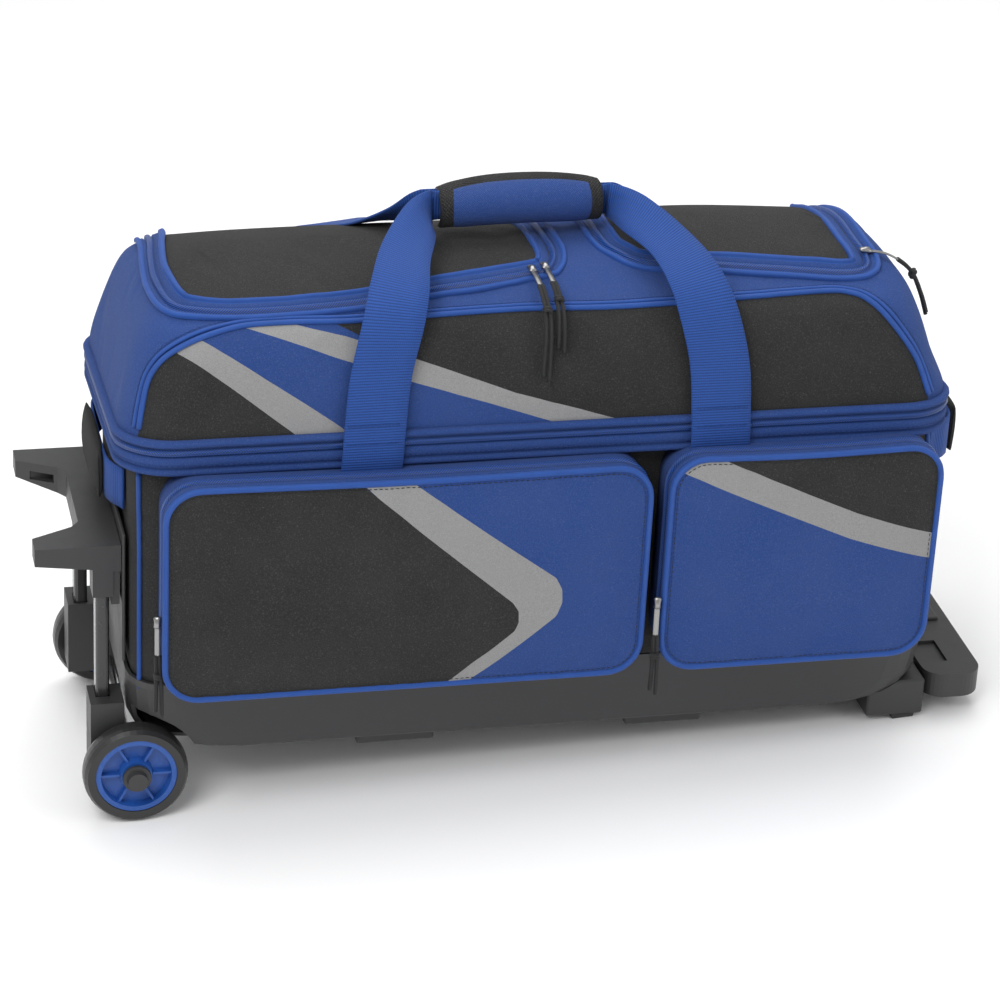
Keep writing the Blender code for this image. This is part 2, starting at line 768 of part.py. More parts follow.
def make_pockets():
    """Each pocket is a fabric wall standing off the body and a panel that folds down from its lower edge."""
    back = -BODY_DEPTH / 2 - GAP
    panel_back = POCKET_FRONT + 0.0040
    for name, (left, right, high) in (("left_pocket", LEFT_POCKET), ("right_pocket", RIGHT_POCKET)):
        span = (left, right)
        loops = [
            pocket_loop(span, POCKET_LOW, POCKET_SEAM_HIGH, 0.0, back),
            pocket_loop(span, POCKET_LOW, high, 0.0, panel_back + GAP),
            pocket_loop(span, POCKET_LOW, high, FABRIC, panel_back + GAP),
            pocket_loop(span, POCKET_LOW, POCKET_SEAM_HIGH, FABRIC, back),
        ]
        gusset = add(f"{name}_gusset", skin_mesh(f"{name}_gusset", loops, cap=False, wrap=True))
        paint(gusset, ROYAL, 0.8)
        faces = [pocket_loop(span, POCKET_LOW, high, 0.0, y) for y in (panel_back, POCKET_FRONT)]
        panel = add(f"{name}_panel", skin_mesh(f"{name}_panel", faces))
        pivot(panel, ((left + right) / 2, POCKET_FRONT + 0.0020, POCKET_LOW))
        paint(panel, ROYAL, 0.8)


# ---------------------------------------------------------------- carry straps and handles
def spline_value(t, p, q, r, s):
    bend = (2 * p - 5 * q + 4 * r - s) * t * t + (3 * q - p - 3 * r + s) * t ** 3
    return q + 0.5 * ((r - p) * t + bend)


def smooth(points, steps):
    """Catmull-Rom points through a list of equal-length tuples."""
    padded = [points[0], *points, points[-1]]
    result = []
    for a, b, c, d in zip(padded, padded[1:], padded[2:], padded[3:]):
        for k in range(steps):
            t = k / steps
            result.append(tuple(spline_value(t, *values) for values in zip(a, b, c, d)))
    result.append(tuple(points[-1]))
    return result


def ribbon(name, stations, thickness, steps=3):
    """Flat webbing: each station is its centre and the vector across its whole width."""
    rows = smooth(stations, steps)
    centres = [Vector(row[:3]) for row in rows]
    loops = []
    for index, row in enumerate(rows):
        ahead = centres[min(index + 1, len(rows) - 1)]
        behind = centres[max(index - 1, 0)]
        across = Vector(row[3:]) / 2
        out = (ahead - behind).cross(across).normalized() * (thickness / 2)
        centre = centres[index]
        corners = ((-1, -1), (1, -1), (1, 1), (-1, 1))
        loops.append([centre + across * a + out * b for a, b in corners])
    return add(name, skin_mesh(name, loops))


# distance from the straps' middle, distance in front of the mid plane, height, then the vector across
FRONT_STRAP_LEG = (
    (STRAP_FOOT, STRAP_Y, STRAP_FOOT_Z, STRAP_WIDTH, 0.0, 0.0),
    (0.1480, STRAP_Y, 0.3060, STRAP_WIDTH, 0.0, 0.0),
    (0.1435, 0.1480, 0.3550, STRAP_WIDTH, 0.0, 0.0),
    (0.1320, 0.1390, 0.4030, 0.0510, -0.0040, -0.0040),
    (0.1240, 0.1180, 0.4270, 0.0460, -0.0150, -0.0080),
    (0.1120, 0.0800, 0.4400, 0.0360, -0.0240, -0.0110),
    (0.0920, 0.0380, 0.4480, 0.0180, -0.0160, -0.0200),
    (0.0780, 0.0080, 0.4480, 0.0030, -0.0030, -0.0220),
    (0.0690, 0.0025, 0.4470, 0.0, 0.0, -0.0200),
    (0.0600, 0.0025, 0.4470, 0.0, 0.0, -0.0200),
    (0.0300, 0.0025, 0.4490, 0.0, 0.0, -0.0200),
)

REAR_STRAP_LEG = (
    (0.1500, 0.1480, LID_HINGE_Z + 0.0010, STRAP_WIDTH, 0.0, 0.0),
    (0.1500, 0.1490, 0.3000, STRAP_WIDTH, 0.0, 0.0),
    (0.1490, 0.1460, 0.3300, STRAP_WIDTH, 0.0, 0.0),
    (0.1480, 0.1410, 0.3500, STRAP_WIDTH, -0.0020, 0.0),
    (0.1460, 0.1320, 0.3720, 0.0510, -0.0060, 0.0),
    (0.1420, 0.1180, 0.3815, 0.0490, -0.0140, -0.0010),
    (0.1310, 0.0880, 0.3935, 0.0450, -0.0220, -0.0030),
    (0.1170, 0.0560, 0.4070, 0.0340, -0.0250, -0.0080),
    (0.1010, 0.0270, 0.4260, 0.0180, -0.0180, -0.0180),
    (0.0880, 0.0080, 0.4410, 0.0040, -0.0040, -0.0220),
    (0.0780, 0.0025, 0.4455, 0.0, 0.0, -0.0210),
    (0.0690, 0.0025, 0.4465, 0.0, 0.0, -0.0200),
    (0.0600, 0.0025, 0.4470, 0.0, 0.0, -0.0200),
    (0.0300, 0.0025, 0.4490, 0.0, 0.0, -0.0200),
)


def make_carry_straps():
    front = ("front_carry_strap", -1, FRONT_STRAP_LEG, (STRAP_CENTRE, -STRAP_Y, STRAP_FOOT_Z))
    rear = ("rear_carry_strap", 1, REAR_STRAP_LEG, (STRAP_CENTRE, LID_HINGE_Y, LID_HINGE_Z))
    for name, side, leg, hinge in (front, rear):
        stations = []
        for x, y, z, ax, ay, az in leg:
            stations.append((STRAP_CENTRE - x, side * y, z, ax, side * -ay, az))
        for x, y, z, ax, ay, az in reversed(leg):
            stations.append((STRAP_CENTRE + x, side * y, z, -ax, side * -ay, az))
        strap = ribbon(name, stations, STRAP_THICK)
        pivot(strap, hinge)
        paint(strap, ROYAL, 0.75)
        make_grip_half(name, side, hinge)


# distance from the straps' middle, centre height, half height, half depth
GRIP_SECTIONS = (
    (-0.0680, 0.4425, 0.0125, 0.0165),
    (-0.0560, 0.4445, 0.0145, 0.0180),
    (-0.0300, 0.4475, 0.0165, 0.0190),
    (0.0, 0.4490, 0.0175, 0.0195),
    (0.0300, 0.4485, 0.0170, 0.0190),
    (0.0560, 0.4470, 0.0150, 0.0180),
    (0.0680, 0.4460, 0.0135, 0.0165),
)


def make_grip_half(strap_name, side, hinge):
    """Half of the padded grip, lying against the outer face of its strap."""
    name = "grip_pad" if side < 0 else "grip_wrap"
    inner = 0.0025 + STRAP_THICK / 2 + 2 * GAP
    loops = []
    for x, z, half_height, half_depth in GRIP_SECTIONS:
        loop = []
        for k in range(9):
            angle = math.pi * (k / 8 - 0.5)
            y = inner + (half_depth - inner) * math.cos(angle)
            loop.append((STRAP_CENTRE + x, side * y, z + half_height * math.sin(angle)))
        loops.append(loop)
    half = add(name, skin_mesh(name, loops))
    pivot(half, hinge)
    paint(half, ROYAL if side < 0 else CHARCOAL, 0.8)


def make_grab_handles():
    """A webbing loop on each end wall, bowed out at its middle under a padded cover."""
    for name, side, wall, stand_off in (("left", -1, 0.3545, 0.0155), ("right", 1, 0.3500, 0.0320)):
        profile = (
            (-GRAB_Y - 0.0040, 0.0020),
            (-GRAB_Y + 0.0010, 0.0020 + 0.22 * stand_off),
            (-GRAB_Y + 0.0080, 0.70 * stand_off),
            (-GRAB_Y + 0.0260, 0.95 * stand_off),
            (0.0, stand_off),
        )
        profile += tuple((-y, out) for y, out in reversed(profile[:-1]))
        stations = [(side * (wall + out), y, GRAB_Z, 0.0, 0.0, GRAB_WIDTH) for y, out in profile]
        strap = ribbon(f"{name}_grab_strap", stations, STRAP_THICK)
        paint(strap, ROYAL, 0.75)
        inner = wall + stand_off + STRAP_THICK / 2 + GAP
        low_x, high_x = sorted((side * inner, side * (inner + 0.0085)))
        low = (low_x, -0.0480, GRAB_Z - 0.0210)
        high = (high_x, 0.0480, GRAB_Z + 0.0210)
        pad = box(f"{name}_grab_pad", low, high, 0.003)
        paint(pad, CHARCOAL, 0.8)


# ---------------------------------------------------------------- zip pulls
def pull(name, slider, points, radius=0.0024):
    """A metal tab and its cord, hanging from a slider; points are relative to the slider."""
    piece = wire(name, [(0.0, 0.0, 0.0), *points], radius, slider)
    paint(piece, STEEL, 0.35, 0.8)


def make_zip_pulls():
    over_lid = [
        (0.0005, -0.0200, -0.0010),
        (0.0010, -0.0400, -0.0050),
        (0.0010, -0.0570, -0.0140),
        (0.0005, -0.0670, -0.0300),
        (0.0, -0.0690, -0.0480),
        (-0.0010, -0.0720, -0.0700),
    ]
    pull("left_flap_pull", (-0.0150, -0.0780, 0.4160), over_lid)
    shorter = [(x + 0.0005, y, z) for x, y, z in over_lid[:-1]]
    pull("left_flap_second_pull", (-0.0030, -0.0740, 0.4165), shorter)
    over_end = [
        (0.0200, -0.0020, -0.0040),
        (0.0400, -0.0040, -0.0180),
        (0.0510, -0.0060, -0.0390),
        (0.0580, -0.0080, -0.0600),
    ]
    pull("right_flap_pull", (0.2820, -0.0660, 0.4150), over_end)
    hanging = [(0.0, -0.0010, -0.0300), (0.0010, -0.0010, -0.0600), (0.0010, -0.0010, -0.0880)]
    pull("left_pocket_pull", (-0.3400, -0.1680, 0.1500), hanging)
    pull("right_pocket_pull", (0.0860, -0.1795, 0.1450), hanging)


# ---------------------------------------------------------------- assembly
def stand_on_ground():
    """Tilts and lifts the bag's frame onto its wheels and feet, centred over the origin."""
    tilt = stand_tilt()
    lift = math.sin(tilt) * FOOT_X - math.cos(tilt) * FOOT_BOTTOM
    FRAME.rotation_euler = (0, tilt, 0)
    FRAME.location = (0, 0, lift)
    bpy.context.view_layer.update()
    graph = bpy.context.evaluated_depsgraph_get()
    spans = []
    for piece in PARTS.objects:
        evaluated = piece.evaluated_get(graph)
        mesh = evaluated.to_mesh()
        spans.extend(evaluated.matrix_world @ vertex.co for vertex in mesh.vertices)
        evaluated.to_mesh_clear()
    for axis in (0, 1):
        values = [point[axis] for point in spans]
        FRAME.location[axis] = -(min(values) + max(values)) / 2
    bpy.context.view_layer.update()


clear_scene()
PARTS = collection("rolling_bowling_bag")
CUTTERS = collection("cutters")
FRAME = bpy.data.objects.new("bag_frame", None)
bpy.context.scene.collection.objects.link(FRAME)

make_tray()
make_ball_compartment()
make_underside()
make_pull_handle()
make_wheels()
make_stand()
make_lower_body()
make_belt()
make_lid()
make_pockets()
make_carry_straps()
make_grab_handles()
make_zip_pulls()
stand_on_ground()
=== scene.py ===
"""Looks of the rolling bowling bag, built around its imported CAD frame.

Soft goods are modelled in the bag's own frame: X from the wheels to the pull handle, -Y the pocket side, Z up
from the underside of the tray. BAG places that frame in the CAD's frame. Metres throughout.
"""

import json
import math

import bmesh
import bpy
import numpy as np
from mathutils import Matrix, Vector
from mathutils.bvhtree import BVHTree


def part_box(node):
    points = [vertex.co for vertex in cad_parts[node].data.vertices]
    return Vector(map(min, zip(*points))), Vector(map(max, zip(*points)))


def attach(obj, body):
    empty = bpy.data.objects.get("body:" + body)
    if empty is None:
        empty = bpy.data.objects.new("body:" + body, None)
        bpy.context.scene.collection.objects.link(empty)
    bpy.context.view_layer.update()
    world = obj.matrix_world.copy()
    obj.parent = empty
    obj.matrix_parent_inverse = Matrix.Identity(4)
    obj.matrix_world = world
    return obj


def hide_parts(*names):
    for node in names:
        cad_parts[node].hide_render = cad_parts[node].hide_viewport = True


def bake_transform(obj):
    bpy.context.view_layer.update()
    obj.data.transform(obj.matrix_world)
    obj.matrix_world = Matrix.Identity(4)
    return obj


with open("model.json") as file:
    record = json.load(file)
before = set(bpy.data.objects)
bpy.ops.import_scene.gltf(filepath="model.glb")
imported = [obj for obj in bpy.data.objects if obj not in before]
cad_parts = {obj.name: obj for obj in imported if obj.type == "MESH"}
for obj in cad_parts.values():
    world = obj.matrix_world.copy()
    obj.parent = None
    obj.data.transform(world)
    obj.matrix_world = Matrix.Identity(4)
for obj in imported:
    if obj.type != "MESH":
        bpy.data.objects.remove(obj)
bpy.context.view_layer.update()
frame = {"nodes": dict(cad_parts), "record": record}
NODES = frame["nodes"]

# ---------------------------------------------------------------- driving values
AXLE = Vector((-0.3526, 0.0, -0.0189))
WHEEL_RADIUS = 0.0454
FOOT_X = 0.344
FOOT_BOTTOM = -0.025

BODY_HALF_LENGTH = 0.3575
BODY_HALF_DEPTH = 0.1315
BODY_CORNER = 0.036
CORNER_PIPING_Y = 0.1165
TRAY_TOP = 0.069

BELT_LOW = 0.2748
ZIP_LINE = 0.295
BELT_HIGH = 0.306
BELT_HALF_LENGTH = 0.358
BELT_HALF_DEPTH = 0.1445
BELT_CORNER = 0.046
BACK_DROP = 0.026
SLOPE_START = 0.146
UPPER_MIDDLE = -0.0075
LOWER_BELT_LEDGE = 0.015
UPPER_BELT_LEDGE = 0.007

POCKET_BACK = -0.1318
POCKET_EDGE = -0.1735
POCKET_LOW = 0.078
POCKET_CORNER = 0.03
LEFT_POCKET = (-0.335, 0.075, 0.2745)
RIGHT_POCKET = (0.0925, 0.331, 0.279)

STRAP_CENTRE = -0.011
WEBBING_THICK = 0.0022
GRAB_Z = 0.231

PIPING = 0.0024
THREAD_RADIUS = 0.0004

# ---------------------------------------------------------------- colours, linear
ROYAL = (0.016, 0.075, 0.33)
CHARCOAL = (0.019, 0.019, 0.019)
SILVER = (0.32, 0.32, 0.322)
PLASTIC = (0.03, 0.03, 0.031)
LINING = (0.03, 0.03, 0.032)
BLACK = (0.014, 0.014, 0.015)
GUNMETAL = (0.33, 0.325, 0.32)


def bag_frame():
    """Where the bag's own frame stands in the CAD's frame: tilted, with its axle in the CAD's axle."""
    run, rise = FOOT_X - AXLE.x, AXLE.z - FOOT_BOTTOM
    tilt = math.asin(WHEEL_RADIUS / math.hypot(run, rise)) - math.atan2(rise, run)
    turn = Matrix.Rotation(tilt, 4, "Y")
    low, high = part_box("wheel_axle")
    return Matrix.Translation((low + high) / 2 - turn @ AXLE) @ turn


BAG = bag_frame()
UP = np.array((0.0, 0.0, 1.0))
BACK = np.array((0.0, 1.0, 0.0))


# ---------------------------------------------------------------- materials
class Skin:
    """A node material in the making: each call adds a node and returns its first output."""

    def __init__(self, name, roughness, metallic=0.0, sheen=0.0, coat=0.0, specular=0.5):
        self.material = bpy.data.materials.new(name)
        self.material.use_nodes = True
        self.tree = self.material.node_tree
        self.shader = self.tree.nodes["Principled BSDF"]
        settings = {
            "Roughness": roughness,
            "Metallic": metallic,
            "Sheen Weight": sheen,
            "Coat Weight": coat,
            "Specular IOR Level": specular,
        }
        for socket, value in settings.items():
            self.shader.inputs[socket].default_value = value

    def add(self, kind, inputs, output=0, **options):
        node = self.tree.nodes.new(kind)
        for key, value in options.items():
            setattr(node, key, value)
        for key, value in inputs.items():
            if isinstance(value, bpy.types.NodeSocket):
                self.tree.links.new(value, node.inputs[key])
            else:
                node.inputs[key].default_value = value
        return node.outputs[output]

    def math(self, operation, a, b=0.0):
        return self.add("ShaderNodeMath", {0: a, 1: b}, operation=operation)

    def times(self, a, b):
        return self.math("MULTIPLY", a, b)

    def mix(self, factor, a, b):
        inputs = {0: factor, 6: solid(a), 7: solid(b)}
        return self.add("ShaderNodeMix", inputs, 2, data_type="RGBA")

    def place(self):
        """Coordinates in the bag's frame."""
        return self.add("ShaderNodeTexCoord", {}, "Object")

    def cloth_axes(self):
        """Metres along the warp and along the weft."""
        split = self.add("ShaderNodeSeparateXYZ", {0: self.add("ShaderNodeUVMap", {})}).node
        return split.outputs[0], split.outputs[1]

    def wave(self, along, pitch):
        return self.math("SINE", self.times(along, 2 * math.pi / pitch))

    def noise(self, scale, detail=2.0, where=None):
        inputs = {"Vector": where or self.place(), "Scale": scale, "Detail": detail}
        return self.add("ShaderNodeTexNoise", inputs)

    def inked(self, attribute):
        """1 where a stored signed distance is positive."""
        stored = self.add("ShaderNodeAttribute", {}, "Fac", attribute_name=attribute)
        return self.math("GREATER_THAN", stored)

    def finish(self, colour, height, depth, roughness=None):
        self.connect(colour, "Base Color")
        if roughness is not None:
            self.connect(roughness, "Roughness")
        bump = self.add("ShaderNodeBump", {"Height": height, "Distance": depth, "Strength": 1.0})
        self.connect(bump, "Normal")
        return self.material

    def connect(self, value, socket):
        if isinstance(value, bpy.types.NodeSocket):
            self.tree.links.new(value, self.shader.inputs[socket])
        else:
            self.shader.inputs[socket].default_value = solid(value)


def solid(colour):
    return (*colour, 1.0) if isinstance(colour, tuple) else colour


def shade(colour, factor):
    return tuple(channel * factor for channel in colour)


def woven(name, base, inks=(), pitch=0.0011, depth=0.00022, sheen=0.03):
    """Plain-woven polyester; inks are (stored distance, colour, is smooth tape) laid over the base."""
    skin = Skin(name, 0.82, sheen=sheen, specular=0.2)
    u, v = skin.cloth_axes()
    threads = skin.times(skin.wave(u, pitch), skin.wave(v, pitch))
    specks = skin.noise(1400.0, 1.0)
    clouds = skin.noise(16.0, 3.0)
    colour, height = base, threads
    roughness = 0.82
    for attribute, ink, smooth_tape in inks:
        mask = skin.inked(attribute)
        colour = skin.mix(mask, colour, ink)
        if smooth_tape:
            height = skin.times(height, skin.math("SUBTRACT", 1.0, mask))
            roughness = skin.math("SUBTRACT", roughness, skin.times(mask, 0.35))
    flecked = skin.mix(skin.times(specks, 0.9), skin.mix(0.55, colour, (0.0, 0.0, 0.0)), colour)
    # Painted highlights: tiny light glints mixed into the cloth's colour.
    glints = skin.times(skin.math("POWER", skin.noise(900.0, 1.0), 5.0), 0.9)
    flecked = skin.mix(glints, flecked, skin.mix(0.3, colour, (0.55, 0.55, 0.55)))
    clouded = skin.mix(skin.times(clouds, 0.3), flecked, skin.mix(0.2, flecked, SILVER))
    height = skin.math("ADD", height, skin.times(clouds, 2.5))
    if isinstance(roughness, float):
        roughness = skin.math("ADD", 0.76, skin.times(clouds, 0.12))
    return skin.finish(clouded, height, depth, roughness)


def ribbed(name, base, pitch=0.0024, depth=0.00035):
    """Webbing with ribs across its width, its colour painted darker between the ribs as shade."""
    skin = Skin(name, 0.7, sheen=0.04, specular=0.3)
    u, v = skin.cloth_axes()
    ribs = skin.math("ABSOLUTE", skin.wave(u, 2 * pitch))
    yarn = skin.times(skin.wave(v, 0.0014), 0.18)
    # Painted shade: the colour follows the ribs' wave, darkest in the grooves between them.
    colour = skin.mix(ribs, shade(base, 0.38), shade(base, 0.98))
    colour = skin.mix(skin.times(skin.noise(900.0), 0.35), colour, shade(base, 0.6))
    return skin.finish(colour, skin.math("ADD", ribs, yarn), depth)


def coil_skin(name, base):
    """The teeth of a nylon coil zip: slanting ridges either side of a middle line, painted dark between the
    teeth as shade and bright on their crests as highlight.
    """
    skin = Skin(name, 0.38, specular=0.6)
    u, v = skin.cloth_axes()
    teeth = skin.math("POWER", skin.math("ABSOLUTE", skin.wave(skin.math("ADD", u, v), 0.0044)), 1.5)
    # Painted shade and highlight: the colour runs from very dark between the teeth to bright on their crests.
    colour = skin.mix(teeth, shade(base, 0.1), shade(base, 1.6))
    return skin.finish(colour, teeth, 0.0006)


def binding(name, base):
    """Bias binding over a cord: smoother than the cloth, with its own slanting weave."""
    skin = Skin(name, 0.6, sheen=0.03, specular=0.35)
    u, v = skin.cloth_axes()
    slant = skin.wave(skin.math("ADD", u, skin.times(v, 1.3)), 0.0013)
    soft = skin.noise(70.0, 2.0)
    colour = skin.mix(skin.times(soft, 0.5), shade(base, 1.15), shade(base, 0.7))
    return skin.finish(colour, slant, 0.00012)


def moulded(name, base, roughness=0.48, grain=2600.0, depth=0.00008, coat=0.0):
    """Moulded plastic with a fine grain, faint flow marks and scuffs."""
    skin = Skin(name, roughness, coat=coat, specular=0.5)
    fine = skin.noise(grain, 1.0)
    flow = skin.noise(14.0, 3.0)
    scuffs = skin.math("POWER", skin.noise(60.0, 5.0), 3.0)
    colour = skin.mix(skin.times(flow, 0.4), base, shade(base, 1.35))
    colour = skin.mix(skin.times(scuffs, 0.25), colour, shade(base, 2.0))
    rough = skin.math("ADD", roughness - 0.08, skin.times(scuffs, 0.3))
    rough = skin.math("ADD", rough, skin.times(flow, 0.1))
    return skin.finish(colour, fine, depth, rough)


def metal(name, base, roughness=0.3):
    """Drawn or plated metal with fine lengthwise brushing."""
    skin = Skin(name, roughness, metallic=1.0)
    streaks = skin.add("ShaderNodeMapping", {"Vector": skin.place(), "Scale": (30.0, 2400.0, 2400.0)})
    brush = skin.noise(1.0, 2.0, streaks)
    colour = skin.mix(skin.times(brush, 0.5), base, shade(base, 0.75))
    rough = skin.math("ADD", roughness - 0.08, skin.times(brush, 0.18))
    return skin.finish(colour, brush, 0.00002, rough)


BLUE_CLOTH = woven("blue_cloth", ROYAL)
BLACK_CLOTH = woven("black_cloth", CHARCOAL)
LINING_CLOTH = woven("lining_cloth", LINING, pitch=0.0016)
COARSE_CLOTH = woven("coarse_cloth", shade(CHARCOAL, 0.75), pitch=0.0026, depth=0.0006)
SOFT_BLUE = woven("soft_blue", shade(ROYAL, 0.95), pitch=0.0018, depth=0.0003, sheen=0.06)
BLUE_BINDING = binding("blue_binding", shade(ROYAL, 0.92))
BLACK_BINDING = binding("black_binding", shade(CHARCOAL, 0.7))
BLUE_WEBBING = ribbed("blue_webbing", ROYAL)
BLUE_COIL = coil_skin("blue_coil", shade(ROYAL, 0.8))
BLACK_PLASTIC = moulded("black_plastic", PLASTIC)
METAL = metal("zip_metal", GUNMETAL)
CORD = binding("black_cord", BLACK)


# ---------------------------------------------------------------- mesh helpers
def new_object(name, data):
    made = bpy.data.objects.new(name, data)
    bpy.context.scene.collection.objects.link(made)
    return made


def place_piece(name, mesh, body):
    piece = new_object(name, mesh)
    piece.matrix_world = BAG
    if body is not None:
        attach(piece, body)
    return piece


def grid(name, rows, materials, body, around=False, ends=(), uv=None, stripes=None):
    """A smooth quad skin through rows of points; around joins each row's ends, and ends names rows to cap."""
    points = np.array([[tuple(p) for p in row] for row in rows])
    deep, wide = points.shape[:2]
    faces, coordinates, slots = [], [], []
    across = lengths(points, 1, around)
    up = lengths(points, 0, False)
    columns = wide if around else wide - 1
    for i in range(deep - 1):
        for j in range(columns):
            k = (j + 1) % wide
            faces.append((i * wide + j, i * wide + k, (i + 1) * wide + k, (i + 1) * wide + j))
            corners = ((i, j, j), (i, k, j + 1), (i + 1, k, j + 1), (i + 1, j, j))
            if uv is None:
                coordinates.extend((across[c], up[r]) for r, _, c in corners)
            else:
                coordinates.extend(uv(points[r, c]) for r, c, _ in corners)
            slots.append(0 if stripes is None else stripes[j])
    for end in ends:
        loop = [end * wide + j for j in range(wide)]
        faces.append(loop if end else loop[::-1])
        coordinates.extend((points[end, j][0], points[end, j][1]) for j in range(wide))
        slots.append(0)
    mesh = bpy.data.meshes.new(name)
    mesh.from_pydata(points.reshape(-1, 3).tolist(), [], faces)
    for material in materials:
        mesh.materials.append(material)
    mesh.polygons.foreach_set("material_index", slots)
    mesh.shade_smooth()
    layer = mesh.uv_layers.new(name="metres")
    layer.data.foreach_set("uv", np.array(coordinates, np.float32).ravel())
    return place_piece(name, mesh, body)


def unit(vectors):
    return vectors / np.linalg.norm(vectors, axis=1)[:, None]


def running(line):
    """The length along a line at each of its points."""
    return np.concatenate([[0.0], np.cumsum(np.linalg.norm(np.diff(line, axis=0), axis=1))])


def lengths(points, axis, closed):
    """Mean running length along one axis of a grid of points."""
    if closed:
        points = np.concatenate([points, points.take([0], axis)], axis)
    steps = np.linalg.norm(np.diff(points, axis=axis), axis=2).mean(axis=1 - axis)
    return np.concatenate([[0.0], np.cumsum(steps)])


def resampled(points, step, closed=False):
    """The same line with evenly spaced points."""
    line = np.array([tuple(p) for p in points], float)
    if closed:
        line = np.concatenate([line, line[:1]])
    run = running(line)
    count = max(3, int(round(run[-1] / step)))
    places = np.linspace(0.0, run[-1], count + (0 if closed else 1), endpoint=not closed)
    return np.stack([np.interp(places, run, line[:, k]) for k in range(line.shape[1])], 1)


def spline(points, count):
    """Points on a Catmull-Rom curve, count to each span."""
    points = [np.array(p, float) for p in points]
    padded = [points[0], *points, points[-1]]
    fine = []
    for a, b, c, d in zip(padded, padded[1:], padded[2:], padded[3:]):
        for t in np.linspace(0.0, 1.0, count, endpoint=False):
            bend = (2 * a - 5 * b + 4 * c - d) * t * t + (3 * b - a - 3 * c + d) * t ** 3
            fine.append(b + 0.5 * ((c - a) * t + bend))
    return [*fine, points[-1]]


def curve_through(points, step=0.004):
    return resampled(spline(points, 12), step)


def corner_arcs(left, right, low, high, radius, count):
    """A rectangle's rounded corners, anticlockwise from the low right one, in count steps each."""
    arcs = []
    for x, y, quarter in ((right, low, -1), (right, high, 0), (left, high, 1), (left, low, 2)):
        centre_x = x - radius if x == right else x + radius
        centre_y = y + radius if y == low else y - radius
        angles = [(quarter + k / count) * math.pi / 2 for k in range(count + 1)]
        arcs.append([(centre_x + radius * math.cos(a), centre_y + radius * math.sin(a)) for a in angles])
    return arcs


def rounded_loop(left, right, low, high, radius, step):
    """A rounded rectangle of evenly spaced points, anticlockwise from the middle of its low side."""
    arcs = corner_arcs(left, right, low, high, radius, 8)
    return resampled([((left + right) / 2, low), *sum(arcs, [])], step, closed=True)


def directions(path, closed):
    if closed:
        ahead, behind = np.roll(path, -1, 0), np.roll(path, 1, 0)
    else:
        ahead = np.concatenate([path[1:], path[-1:]])
        behind = np.concatenate([path[:1], path[:-1]])
    return unit(ahead - behind)


def sideways(path, normals, closed=False):
    """Unit vectors across a path, in its surface."""
    return unit(np.cross(directions(path, closed), normals))


def carried(path, aside, out, profile, closed=False):
    """Rows of points: a profile repeated at every point of a path."""
    rows = np.array([path + aside * a + out * b for a, b in profile]).transpose(1, 0, 2)
    return np.concatenate([rows, rows[:1]]) if closed else rows


def sweep(
    name, path, normals, profile, materials, body, closed=False, tube=False, stripes=None
):
    """A profile of (aside, outwards) points carried along a path that has a normal at every point."""
    path, normals = np.array(path, float), np.array(normals, float)
    aside = sideways(path, normals, closed)
    rows = carried(path, aside, np.cross(aside, directions(path, closed)), profile, closed)
    ends = (0, len(rows) - 1) if tube and not closed else ()
    return grid(name, rows, materials, body, around=tube, ends=ends, stripes=stripes)


def cord(name, path, normals, radius, material, body, closed=False, raised=0.0):
    """A round piping, binding or strand of ten sides."""
    angles = [2 * math.pi * k / 10 for k in range(10)]
    profile = [(radius * math.cos(a), radius * math.sin(a) + raised) for a in angles]
    sweep(name, path, normals, profile, [material], body, closed, tube=True)


def baked(piece):
    """Applies the piece's modifiers to its mesh."""
    bpy.context.view_layer.update()
    evaluated = piece.evaluated_get(bpy.context.evaluated_depsgraph_get())
    mesh = bpy.data.meshes.new_from_object(evaluated)
    piece.modifiers.clear()
    piece.data = mesh


def thicken(piece, thickness, lining=0):
    """Gives the cloth its thickness, on its inner side."""
    solidify = piece.modifiers.new("cloth_thickness", "SOLIDIFY")
    solidify.thickness = thickness
    solidify.offset = -1.0
    solidify.material_offset = lining
    solidify.use_rim = True
    baked(piece)


def smoothed(piece):
    subdivision = piece.modifiers.new("smoothing", "SUBSURF")
    subdivision.levels = subdivision.render_levels = 1
    baked(piece)


def coordinates_of(piece):
    flat = np.zeros(len(piece.data.vertices) * 3)
    piece.data.vertices.foreach_get("co", flat)
    return flat.reshape(-1, 3)


CLOTH_FRAMES = 20


